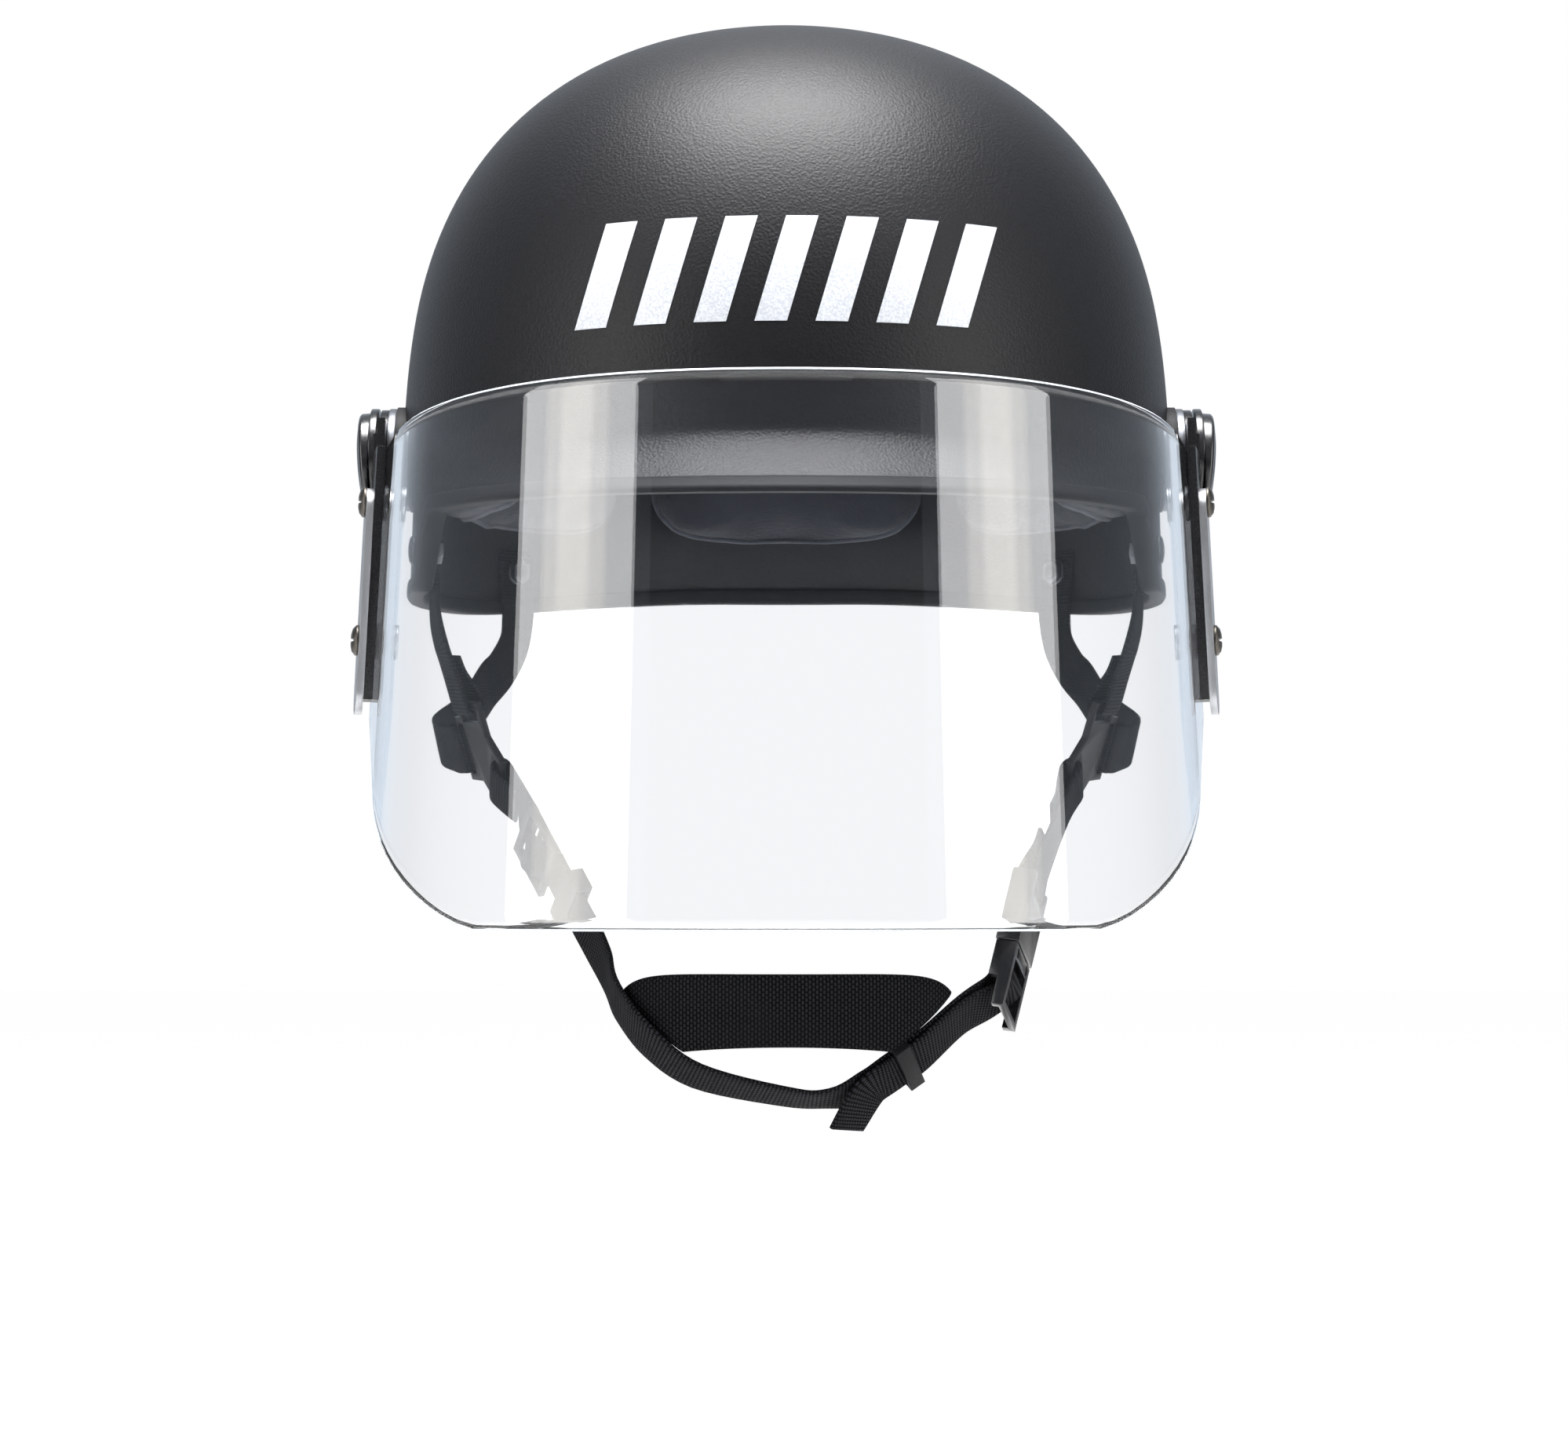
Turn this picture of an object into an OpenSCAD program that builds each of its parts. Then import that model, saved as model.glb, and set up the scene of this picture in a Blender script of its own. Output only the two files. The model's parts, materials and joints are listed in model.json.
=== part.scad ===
// Police tactical helmet: a moulded shell with a clear face shield that lifts on two side hinges.
// Millimetres. Z is up, the front faces -Y and +X is the wearer's left.
// Y = 0 is the plane of the shield hinges and Z = 0 is just above the lowest rim of the ear flaps.

/* [Shell] */
// Outside width of the shell at its widest
shell_w = 242; // [238:1:250]
// Distance from the hinge plane to the front of the dome, without the brim
shell_front = 128; // [124:1:132]
// Distance from the hinge plane to the back of the dome
shell_back = 132; // [126:1:140]
// Height of the top of the shell
shell_top = 178.8; // [176:0.2:186]
// Height at which the dome meets the straight wall
dome_z = 49.6; // [46:0.2:54]
// Distance behind the hinge plane at which the shell is widest
widest_y = 20; // [14:1:26]
// Thickness of the moulded shell
shell_wall = 4; // [3.6:0.1:4.2]
// How far the brim stands out in front of the dome
brim_out = 17; // [10:0.5:19]
// Height of the brim's lower edge at the centre
brim_z = 20.4; // [18:0.2:24]
// Height of the rim under the ears
ear_z = 1; // [-4:0.5:3]
// Height of the rim at the nape
nape_z = 9; // [2:0.5:14]
// Height of the rubber edge trim
trim_h = 3.6; // [3:0.1:5]
// Thickness of the rubber edge trim
trim_t = 1.3; // [1:0.1:1.8]

/* [Hinges] */
// Height of the hinge axis
hinge_z = 43.5; // [42:0.5:46]
// How far the inner face of the hinge base stands off the widest line of the shell
hinge_gap = 0.4; // [0.4:0.1:2]
// Radius of the hinge discs
disc_r = 15.9; // [15:0.1:16.4]
// Radius of the round cover of the hinge
cap_r = 16.4; // [15.6:0.1:16.8]
// Thickness of the hinge base
base_t = 2.4; // [2:0.1:2.6]
// Radius of the shoulder that the arm turns on
shoulder_r = 4; // [3.6:0.1:4.4]
// Radius of the threaded end of the pivot bolt
thread_r = 3; // [2.6:0.1:3.2]
// Radial clearance of every turning fit
run_gap = 0.06; // [0.03:0.01:0.1]
// Largest angle that the face shield lifts through
lift_max = 85; // [60:1:88]

/* [Face shield] */
// Thickness of the clear sheet
shield_t = 3; // [2.6:0.1:3.2]
// Distance from the hinge plane to the front of the sheet
shield_front = 165; // [162:1:172]
// Height of the upper edge of the sheet
shield_top = 51.5; // [50:0.5:53]
// How far the upper edge of the sheet dips towards the arms
shield_dip = 7.9; // [6:0.1:9]
// Height of the lower edge of the sheet
shield_low = -103; // [-112:1:-95]
// Height at which the lower edge leaves the arms
shield_corner = -39; // [-46:1:-37]
// Distance in front of the hinge plane at which the sheet ends
shield_rear = 20; // [20:0.5:22]
// Angle by which the sides of the sheet close towards the front
toe = 9; // [7:0.5:10]
// Angle by which the sides of the sheet spread downwards
lean = 2.9; // [2:0.1:4]

/* [Arms] */
// Width of the straight part of each arm
arm_w = 14; // [12:0.5:15]
// Thickness of the straight part of each arm
arm_t = 2.8; // [2.4:0.1:3.6]
// Length of the straight part of each arm
arm_len = 77; // [74:1:80]
// Thickness of the hub of each arm
hub_t = 2.4; // [2:0.1:2.6]
// Thickness of the bright clamp plate on each arm
plate_t = 2.2; // [1.6:0.1:2.4]
// Length of the clamp plate
plate_len = 69.5; // [66:0.5:70]
// Distance between the two shield screws of an arm
screw_pitch = 42.5; // [38:0.5:44]
// Radius of the heads of the shield screws
screw_head_r = 4.7; // [4:0.1:5]

/* [Liner] */
// Thickness of the liner pads
pad_t = 18; // [12:1:20]
// Thickness of the hook discs that hold the pads
hook_t = 1.5; // [1.2:0.1:2]

/* [Harness] */
// Width of the straps
strap_w = 15; // [13:0.5:16]
// Thickness of the straps
strap_t = 1.4; // [1.2:0.1:1.6]
// Width of the chin band
chin_w = 21; // [18:1:24]
// Thickness of the chin band
chin_t = 2; // [1.6:0.1:2.4]
// Thickness of the plastic fittings that the straps pass through
fitting_t = 2.2; // [2:0.1:2.4]
// Distance the strap keeper can slide each way
keeper_travel = 4; // [2:1:6]

/* [Hidden] */
half_w = shell_w / 2 - 1;
hinge_x = shell_w / 2 + hinge_gap;
front_len = shell_front + widest_y;
back_len = shell_back - widest_y;
dome_n = 2.44;
dome_m = 2.316;
side_swell = 1;
brim_fold_z = 39;
seat_gap = 0.05;
curved_gap = 0.45;
trim_gap = 0.12;
arm_x = hinge_x + base_t + 0.1;
sheet_x = arm_x + 0.25;
disc_x = arm_x + hub_t + 0.9;
disc_t = 2.4;
cap_drop = 1.9;
relief_r = cap_r + cap_drop + 0.7;
cap_x = disc_x + disc_t;
plate_z = 31.5;
screw_r = 1.6;
post_r = 2.9;
post_flange_t = 1.2;
wrap_r = 2.7;
bar_w = 2.6;
anchor_screw_r = 2.1;
yoke_at = [half_w - 26, -22, -48];
yoke_out = unit([0.88, -0.35, -0.32]);
yoke_up = unit(cross(cross(yoke_out, [0.25, -0.18, 0.95]), yoke_out));
yoke_back = cross(yoke_up, yoke_out);
yoke_bar = 14.2;
buckle_at = [half_w - 51.2, -62.2, -104.3];
buckle_down = unit([-0.24, -0.36, -0.9]);
buckle_out = unit(cross(cross(buckle_down, [0.97, -0.24, 0]), buckle_down));
buckle_side = cross(buckle_out, buckle_down);

// Small vector helpers
function unit(v) = v / norm(v);
function flip(p) = [-p.x, p.y, p.z];
function smooth(t) = let (c = min(1, max(0, t))) c * c * (3 - 2 * c);
function side_angle(phi) = min(phi, 360 - phi);
function mixed(a, b, t) = a + (b - a) * t;

// Shell surface, as a function of the direction round the head and the height
function swell(z) = side_swell * pow(min(1, max(0, (90 - z) / 40)), 2);
function spread(z) = swell(z) + 0.02 * max(0, dome_z - z);
function brim(phi, z) =
    brim_out * smooth((64 - side_angle(phi)) / 42)
    * pow(min(1, max(0, (brim_fold_z - z) / (brim_fold_z - brim_z))), 1.35);
function nape(phi, z) = 7 * smooth((side_angle(phi) - 118) / 55) * pow(smooth((36 - z) / 32), 1.2);
function flare(phi, z) = brim(phi, z) + nape(phi, z);
function plan_len(phi) = cos(phi) > 0 ? front_len : back_len;
function plan_point(phi, r, z, off) = [
    ((half_w - off) * r + spread(z) + flare(phi, z)) * sin(phi),
    widest_y - ((plan_len(phi) - off) * r + flare(phi, z)) * cos(phi),
    z
];
function dome_point(phi, a, off) = plan_point(
    phi, pow(sin(a), 2 / dome_m), dome_z + (shell_top - off - dome_z) * pow(cos(a), 2 / dome_n), off
);
function skin_point(phi, q, off) =
    q <= 90 ? dome_point(phi, q, off) : plan_point(phi, 1, dome_z - (q - 90), off);
function rim_z(phi) =
    let (s = side_angle(phi))
    brim_z + 3.3 * pow(min(1, s / 58), 2)
    + (ear_z - brim_z - 3.3) * smooth((s - 61) / 9)
    + (nape_z - ear_z) * smooth((s - 112) / 60);
function rim_slope(phi) = (rim_z(phi + 1) - rim_z(phi - 1)) / 4.4;
function trim_rise(phi) = trim_h * sqrt(1 + pow(rim_slope(phi), 2));
function side_level(z) = z <= dome_z ? 1
    : pow(1 - pow((z - dome_z) / (shell_top - dome_z), dome_n), 1 / dome_m);
function side_x(y, z) =
    let (b = y < widest_y ? front_len : back_len)
    (half_w * side_level(z) + spread(z)) * sqrt(1 - pow((y - widest_y) / b / side_level(z), 2));

half_columns = concat(
    [for (i = [0:7]) i * 7],
    [53, 57, 60, 62, 64, 66, 68, 70, 73],
    [for (i = [1:15]) 73 + i * 107 / 15]
);
columns = concat(
    half_columns,
    [for (i = [len(half_columns) - 2:-1:1]) 360 - half_columns[i]]
);
dome_rows = [7, 15, 24, 33, 42, 51, 60, 68, 76, 83, 90];
wall_rows = [0.2, 0.38, 0.55, 0.72, 0.87, 1];

// Closed solid from rings of points between two end points
module ring_solid(first, rings, last) {
    n = len(rings[0]);
    m = len(rings);
    points = concat([first], [for (r = rings) each r], [last]);
    end = n * m + 1;
    faces = concat(
        [for (i = [0:n - 1]) [0, 1 + (i + 1) % n, 1 + i]],
        [for (k = [0:m - 2]) for (i = [0:n - 1]) [1 + k * n + i, 1 + k * n + (i + 1) % n, 1 + (k + 1) * n + i]],
        [for (k = [0:m - 2]) for (i = [0:n - 1])
            [1 + (k + 1) * n + i, 1 + k * n + (i + 1) % n, 1 + (k + 1) * n + (i + 1) % n]],
        [for (i = [0:n - 1]) [1 + (m - 1) * n + i, 1 + (m - 1) * n + (i + 1) % n, end]]
    );
    polyhedron(points, faces);
}

// Closed solid from sections along a path, ended flat or joined into a loop
module section_solid(sections, looped = false) {
    n = len(sections[0]);
    m = len(sections);
    points = [for (s = sections) each s];
    steps = looped ? m : m - 1;
    sides = [for (k = [0:steps - 1]) for (i = [0:n - 1])
        let (a = k * n + i, b = k * n + (i + 1) % n, c = ((k + 1) % m) * n + i, d = ((k + 1) % m) * n + (i + 1) % n)
        each [[a, c, d], [a, d, b]]];
    caps = looped ? [] : concat(
        [for (i = [1:n - 2]) [0, i, i + 1]],
        [for (i = [1:n - 2]) [(m - 1) * n, (m - 1) * n + i + 1, (m - 1) * n + i]]
    );
    polyhedron(points, concat(sides, caps));
}

// Puts a piece drawn about its own axes at a point, with x, y and z along three square directions
module place(at, x, y, z) {
    translate(at)
    rotate([atan2(y.z, z.z), -asin(x.z), atan2(x.y, x.x)])
    children();
}

module on_right() {
    mirror([1, 0, 0])
    children();
}

// Shell and edge trim
function shell_ring(off) = concat(
    [for (a = dome_rows) [for (phi = columns) dome_point(phi, a, off)]],
    [for (t = wall_rows) [for (phi = columns)
        plan_point(phi, 1, mixed(dome_z, rim_z(phi) + trim_rise(phi), t), off)]],
    [[for (phi = columns) plan_point(phi, 1, rim_z(phi), off)]]
);

module shell_solid() {
    outside = shell_ring(0);
    inside = shell_ring(shell_wall);
    last = len(inside) - 1;
    ring_solid(
        dome_point(0, 0, 0),
        concat(outside, [for (k = [last:-1:0]) inside[k]]),
        dome_point(0, 0, shell_wall)
    );
}

module shell() {
    color("#2b2c30")
    difference() {
        shell_solid();
        translate([-shell_w, 0, hinge_z])
        rotate([0, 90, 0])
        cylinder(h = 2 * shell_w, r = shoulder_r + 0.4, $fn = 48);
        for (k = [0:3])
            at_anchor(k)
            rotate([0, 90, 0])
            cylinder(h = 20, r = anchor_screw_r + 0.2, center = true, $fn = 32);
    }
}

function trim_section(phi) =
    let (
        z = rim_z(phi),
        h = trim_rise(phi),
        k = trim_t * sqrt(1 + pow(rim_slope(phi), 2)),
        e = trim_gap
    )
    [
        plan_point(phi, 1, z + h, -e),
        plan_point(phi, 1, z + h - 0.2, -e - 0.8 * trim_t),
        plan_point(phi, 1, z, -e - trim_t),
        plan_point(phi, 1, z, -e - 0.6 * trim_t) - [0, 0, k],
        plan_point(phi, 1, z, shell_wall + e + 0.6 * trim_t) - [0, 0, k],
        plan_point(phi, 1, z, shell_wall + e + trim_t),
        plan_point(phi, 1, z + h - 0.2, shell_wall + e + 0.8 * trim_t),
        plan_point(phi, 1, z + h, shell_wall + e),
        plan_point(phi, 1, z, shell_wall + e) - [0, 0, e],
        plan_point(phi, 1, z - e, -e)
    ];

module edge_trim() {
    color("#151517")
    section_solid([for (phi = columns) trim_section(phi)], true);
}

// Liner pads and the hook discs behind them
hook_back = shell_wall + curved_gap;
pad_back = hook_back + hook_t + 0.15;
pad_rings = [[0.45, 0], [0.8, 0], [0.95, 0.1], [1, 0.5], [0.95, 0.84], [0.8, 0.94], [0.55, 0.98], [0.28, 1]];
pad_turns = [for (i = [0:27]) i * 360 / 28];

function box_u(t) = sign(cos(t)) * pow(abs(cos(t)), 0.55);
function box_v(t) = sign(sin(t)) * pow(abs(sin(t)), 0.55);

module wall_pad(phi0, q0, dphi, dq) {
    ring_solid(
        skin_point(phi0, q0, pad_back),
        [for (r = pad_rings) [for (t = pad_turns)
            skin_point(phi0 + r[0] * box_u(t) * dphi, q0 - r[0] * box_v(t) * dq, pad_back + r[1] * pad_t)]],
        skin_point(phi0, q0, pad_back + pad_t)
    );
}

module top_pad() {
    ring_solid(
        skin_point(0, 0, pad_back),
        [for (r = pad_rings) [for (t = pad_turns)
            skin_point(t, 27 * r[0], pad_back + r[1] * pad_t)]],
        skin_point(0, 0, pad_back + pad_t)
    );
}

module hook_patch(phi0, q0, dphi, dq) {
    ring_solid(
        skin_point(phi0, q0, hook_back),
        [for (r = [[0.5, 0], [1, 0], [1, 1], [0.7, 1], [0.35, 1]]) [for (i = [0:19])
            let (t = i * 18)
            skin_point(phi0 + r[0] * cos(t) * dphi, q0 - r[0] * sin(t) * dq, hook_back + r[1] * hook_t)]],
        skin_point(phi0, q0, hook_back + hook_t)
    );
}

pad_spots = [[0, 82, 30, 19], [180, 90, 27, 24], [57, 94, 20, 26], [122, 91, 26, 23]];

module hook_discs() {
    color("#202124") {
        ring_solid(
            skin_point(0, 0, hook_back),
            [for (r = [[9, 0], [17, 0], [17, 1], [12, 1], [6, 1]]) [for (i = [0:19])
                skin_point(i * 18, r[0], hook_back + r[1] * hook_t)]],
            skin_point(0, 0, hook_back + hook_t)
        );
        hook_patch(0, 82, 17, 12);
        hook_patch(180, 90, 15, 15);
        for (k = [2, 3])
            hook_patch(pad_spots[k][0], pad_spots[k][1], 11, 14);
        for (k = [2, 3])
            hook_patch(360 - pad_spots[k][0], pad_spots[k][1], 11, 14);
    }
}

module spot_pad(k, side = 1) {
    color("#3a3b40")
    wall_pad(side > 0 ? pad_spots[k][0] : 360 - pad_spots[k][0], pad_spots[k][1], pad_spots[k][2], pad_spots[k][3]);
}

module crown_pad() {
    color("#3a3b40")
    top_pad();
}

module front_pad() {
    spot_pad(0);
}

module rear_pad() {
    spot_pad(1);
}

module left_front_pad() {
    spot_pad(2);
}

module right_front_pad() {
    spot_pad(2, -1);
}

module left_rear_pad() {
    spot_pad(3);
}

module right_rear_pad() {
    spot_pad(3, -1);
}

// Hinge pieces, drawn on the wearer's left
module along_hinge(x) {
    translate([x, 0, hinge_z])
    rotate([0, 90, 0])
    children();
}

function gasket_section(t) =
    let (c = cos(t), s = sin(t), r0 = shoulder_r + 0.8, r1 = 10.5, r2 = disc_r + 0.5, x = hinge_x - seat_gap)
    [
        [x, r0 * c, hinge_z + r0 * s],
        [x, r2 * c, hinge_z + r2 * s],
        [side_x(r2 * c, hinge_z + r2 * s) + seat_gap, r2 * c, hinge_z + r2 * s],
        [side_x(r1 * c, hinge_z + r1 * s) + seat_gap, r1 * c, hinge_z + r1 * s],
        [side_x(r0 * c, hinge_z + r0 * s) + seat_gap, r0 * c, hinge_z + r0 * s]
    ];

module left_gasket() {
    color("#101012")
    section_solid([for (i = [0:31]) gasket_section(i * 11.25)], true);
}

module right_gasket() {
    on_right()
    left_gasket();
}

module left_hinge_base() {
    color("#8d9095")
    along_hinge(hinge_x)
    difference() {
        cylinder(h = base_t, r = disc_r, $fn = 96);
        translate([0, 0, -1])
        cylinder(h = base_t + 2, r = thread_r + run_gap, $fn = 48);
    }
}

module right_hinge_base() {
    on_right()
    left_hinge_base();
}

nut_back = 3.8;
nut_x = side_x(0, hinge_z) - shell_wall - nut_back;

module left_t_nut() {
    color("#9a9da2")
    difference() {
        union() {
            along_hinge(nut_x)
            cylinder(h = 1.6, r = 9, $fn = 64);
            along_hinge(nut_x)
            cylinder(h = hinge_x - seat_gap - nut_x, r = shoulder_r + 0.2, $fn = 48);
        }
        along_hinge(nut_x - 2)
        cylinder(h = 20, r = thread_r + 0.02, $fn = 48);
    }
}

module right_t_nut() {
    on_right()
    left_t_nut();
}

module left_pivot_bolt() {
    color("#b4b6ba")
    difference() {
        union() {
            along_hinge(nut_x + 0.6)
            cylinder(h = hinge_x + base_t + 0.02 - nut_x - 0.6, r = thread_r, $fn = 48);
            along_hinge(hinge_x + base_t + 0.02)
            cylinder(h = cap_x + 0.02 - hinge_x - base_t, r = shoulder_r, $fn = 48);
            along_hinge(cap_x + 0.03)
            cylinder(h = 1.7, r = 6.4, $fn = 48);
        }
        along_hinge(cap_x + 0.7)
        cylinder(h = 4, r = 2.6, $fn = 6);
    }
}

module right_pivot_bolt() {
    on_right()
    left_pivot_bolt();
}

module left_friction_washer() {
    color("#d7d2c4")
    along_hinge(arm_x + hub_t + 0.05)
    difference() {
        cylinder(h = 0.4, r = 12.4, $fn = 64);
        translate([0, 0, -1])
        cylinder(h = 3, r = shoulder_r + 0.1, $fn = 48);
    }
}

module right_friction_washer() {
    on_right()
    left_friction_washer();
}

function wave_section(t) =
    let (x = arm_x + hub_t + 0.97 + 0.4 * sin(3 * t), c = cos(t), s = sin(t), r0 = 5.2, r1 = 8.4)
    [
        [x - 0.12, r0 * c, hinge_z + r0 * s],
        [x + 0.12, r0 * c, hinge_z + r0 * s],
        [x + 0.12, r1 * c, hinge_z + r1 * s],
        [x - 0.12, r1 * c, hinge_z + r1 * s]
    ];

module left_wave_spring() {
    color("#c6c8cc")
    section_solid([for (i = [0:35]) wave_section(i * 10)], true);
}

module right_wave_spring() {
    on_right()
    left_wave_spring();
}

module left_hinge_disc() {
    color("#6d7075")
    along_hinge(disc_x)
    difference() {
        cylinder(h = disc_t, r = disc_r, $fn = 96);
        translate([0, 0, -1])
        cylinder(h = disc_t + 2, r = shoulder_r + run_gap, $fn = 48);
        translate([0, 0, -1])
        cylinder(h = 1.9, r = 9, $fn = 64);
    }
}

module right_hinge_disc() {
    on_right()
    left_hinge_disc();
}

module cap_solid() {
    rotate_extrude($fn = 96)
    polygon([
        [0, -4], [cap_r, -4], [cap_r, 1.9], [cap_r - 0.7, 2.6], [cap_r - 2.2, 3], [cap_r - 2.6, 2.6],
        [cap_r - 3.4, 2.6], [cap_r - 3.8, 3.3], [cap_r - 6.6, 3.8], [cap_r - 7.2, 3.4], [cap_r - 8, 3.4],
        [cap_r - 8.6, 4], [4, 4.3], [0, 4.4]
    ]);
}

module left_hinge_cap() {
    color("#17181a")
    difference() {
        translate([cap_x, 0, hinge_z - cap_drop])
        rotate([0, 4, 0])
        rotate([0, 90, 0])
        cap_solid();
        translate([cap_x - 10, -2 * cap_r, hinge_z - 2 * cap_r])
        cube([10, 4 * cap_r, 4 * cap_r]);
        along_hinge(cap_x - 1)
        cylinder(h = 2.9, r = 7.6, $fn = 64);
    }
}

module right_hinge_cap() {
    on_right()
    left_hinge_cap();
}

// Face shield: flat sides that run into a round front
tan_toe = tan(toe);
tan_lean = tan(lean) / cos(toe);
side_norm = sqrt(1 + tan_toe * tan_toe + tan_lean * tan_lean);

function sheet_side_x(z, in) = sheet_x - in * side_norm + tan_lean * (hinge_z - z);
function sheet_front_y(z, in) = -shield_front + in + 0.02 * (z - shield_top);
function sheet_radius(z, in) =
    (sheet_side_x(z, in) - tan_toe * (-sheet_front_y(z, in) - shield_rear))
    / (cos(toe) - tan_toe * (1 - sin(toe)));
function sheet_meet(z, in) = -sheet_front_y(z, in) - sheet_radius(z, in) * (1 - sin(toe));
function sheet_point(u, z, in) =
    u <= 1
    ? let (d = mixed(shield_rear, sheet_meet(z, in), u)) [sheet_side_x(z, in) - tan_toe * (d - shield_rear), -d, z]
    : let (a = mixed(toe, 90, u - 1), r = sheet_radius(z, in))
        [r * cos(a), sheet_front_y(z, in) + r - r * sin(a), z];
function sheet_depth(u) = -sheet_point(u, 0, 0).y;
function sheet_high(u) =
    let (d = sheet_depth(u), c = min(1, max(0, d - shield_rear) / 6))
    shield_top - shield_dip * pow(min(1, max(0, shield_front - d) / 95), 1.5)
    - 6 * (1 - sqrt(1 - (1 - c) * (1 - c)));
function sheet_low(u) =
    let (t = min(1, max(0, sheet_depth(u) - shield_rear) / 112))
    shield_low + (shield_corner - shield_low) * pow(1 - pow(t, 1.08), 1.2);

half_u = concat(
    [0, 0.01, 0.04, 0.08, 0.14, 0.25, 0.4, 0.6, 0.8, 1],
    [for (k = [1:16]) 1 + k * 0.058]
);

function sheet_section(u, side) =
    let (
        z1 = sheet_high(u),
        z0 = sheet_low(u),
        zs = [for (k = [0:3]) mixed(z1, z0, k / 3)],
        face = [for (k = [3:-1:0]) sheet_point(u, zs[k], 0)],
        back = [for (z = zs) sheet_point(u, z, shield_t)]
    )
    [for (p = concat(face, back)) side > 0 ? p : flip(p)];

module sheet_solid() {
    section_solid(concat(
        [for (u = half_u) sheet_section(u, 1)],
        [sheet_section(2, 1)],
        [for (k = [len(half_u) - 1:-1:0]) sheet_section(half_u[k], -1)]
    ));
}

// Axes of the flat side of the sheet on the wearer's left, with x square to the sheet
module on_sheet() {
    translate([sheet_x, -shield_rear, hinge_z])
    rotate([0, 0, -toe])
    rotate([0, -lean, 0])
    children();
}

module at_shield_screws() {
    for (z = [plate_z - hinge_z - 4.3, plate_z - hinge_z - 4.3 - screw_pitch])
        on_sheet()
        translate([0, -arm_w / 2, z])
        rotate([0, 90, 0])
        children();
}

module both_sides() {
    children();
    mirror([1, 0, 0])
    children();
}

module face_shield() {
    color("#dfe6ee", 0.35)
    difference() {
        sheet_solid();
        both_sides()
        at_shield_screws()
        cylinder(h = 20, r = post_r + 0.1, center = true, $fn = 48);
    }
}

module hub_plate() {
    linear_extrude(height = hub_t) {
        circle(r = disc_r - 0.4, $fn = 96);
        polygon([
            [-8.5, -10], [-11, -shield_rear + 0.35], [20, -shield_rear + 0.35], [24, -13.5], [8, 10.2], [4, 12.3]
        ]);
    }
}

module left_arm() {
    color("#1b1c1e")
    difference() {
        union() {
            along_hinge(arm_x)
            hub_plate();
            difference() {
                translate([arm_x, -shield_rear + 0.35, hinge_z - 24])
                cube([arm_t + 0.8, 3.2, 30]);
                along_hinge(arm_x + hub_t)
                cylinder(h = 20, r = relief_r, $fn = 96);
            }
            difference() {
                on_sheet()
                translate([seat_gap, -arm_w, -arm_len])
                cube([arm_t, arm_w + 2.2, arm_len + 0.6]);
                along_hinge(arm_x)
                cylinder(h = 20, r = relief_r, $fn = 96);
                translate([arm_x - 5, -shield_rear, hinge_z - 2 * arm_len])
                cube([5 + 0.05, 10, 3 * arm_len]);
            }
        }
        along_hinge(arm_x - 1)
        cylinder(h = hub_t + 2, r = shoulder_r + run_gap, $fn = 48);
        at_shield_screws()
        translate([0, 0, -1])
        cylinder(h = arm_t + 3, r = post_r + 0.1, $fn = 48);
    }
}

module right_arm() {
    on_right()
    left_arm();
}

module left_clamp_plate() {
    color("#c9ccd1")
    difference() {
        on_sheet()
        translate([arm_t + 2 * seat_gap, -arm_w / 2, plate_z - hinge_z - plate_len])
        rotate([0, 90, 0])
        linear_extrude(height = plate_t) {
            translate([-plate_len + arm_w / 2, 0])
            circle(r = arm_w / 2, $fn = 64);
            translate([-arm_w / 2, 0])
            circle(r = arm_w / 2, $fn = 64);
            translate([-plate_len + arm_w / 2, -arm_w / 2])
            square([plate_len - arm_w, arm_w]);
        }
        at_shield_screws()
        cylinder(h = 20, r = screw_r + 0.2, $fn = 48);
        along_hinge(arm_x)
        cylinder(h = 20, r = relief_r, $fn = 96);
    }
}

module right_clamp_plate() {
    on_right()
    left_clamp_plate();
}

module shield_screw() {
    translate([0, 0, arm_t + plate_t + 3 * seat_gap])
    difference() {
        rotate_extrude($fn = 48)
        polygon([[0, 0], [screw_head_r, 0], [screw_head_r, 0.7], [screw_head_r - 1.2, 1.7], [2, 2.1], [0, 2.15]]);
        translate([-0.5, -screw_head_r, 1.2])
        cube([1, 2 * screw_head_r, 2]);
    }
    translate([0, 0, -shield_t + 1])
    cylinder(h = shield_t + arm_t + plate_t - 0.6, r = screw_r, $fn = 32);
}

module shield_screws() {
    color("#b9a878")
    both_sides()
    at_shield_screws()
    shield_screw();
}

module shield_posts() {
    color("#a6a9ae")
    both_sides()
    at_shield_screws()
    difference() {
        union() {
            translate([0, 0, -shield_t - post_flange_t - seat_gap])
            cylinder(h = post_flange_t, r = 5.4, $fn = 48);
            translate([0, 0, -shield_t - post_flange_t - seat_gap])
            cylinder(h = shield_t + post_flange_t + arm_t, r = post_r, $fn = 48);
        }
        translate([0, 0, -shield_t + 0.9])
        cylinder(h = 20, r = screw_r + 0.02, $fn = 32);
    }
}

// Strap anchors through the shell, two on each side
anchor_phi = 72;
anchor_z = 13;
rear_anchor_phi = 128;
rear_anchor_z = 15;

function anchor_point(k) = plan_point(
    [anchor_phi, rear_anchor_phi, 360 - anchor_phi, 360 - rear_anchor_phi][k], 1,
    [anchor_z, rear_anchor_z, anchor_z, rear_anchor_z][k], 0
);
function anchor_out(k) =
    let (p = anchor_point(k), b = p.y < widest_y ? front_len : back_len)
    unit([p.x / half_w / half_w, (p.y - widest_y) / b / b, 0]);

module at_anchor(k) {
    translate(anchor_point(k))
    rotate([0, 0, atan2(anchor_out(k).y, anchor_out(k).x)])
    children();
}

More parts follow.
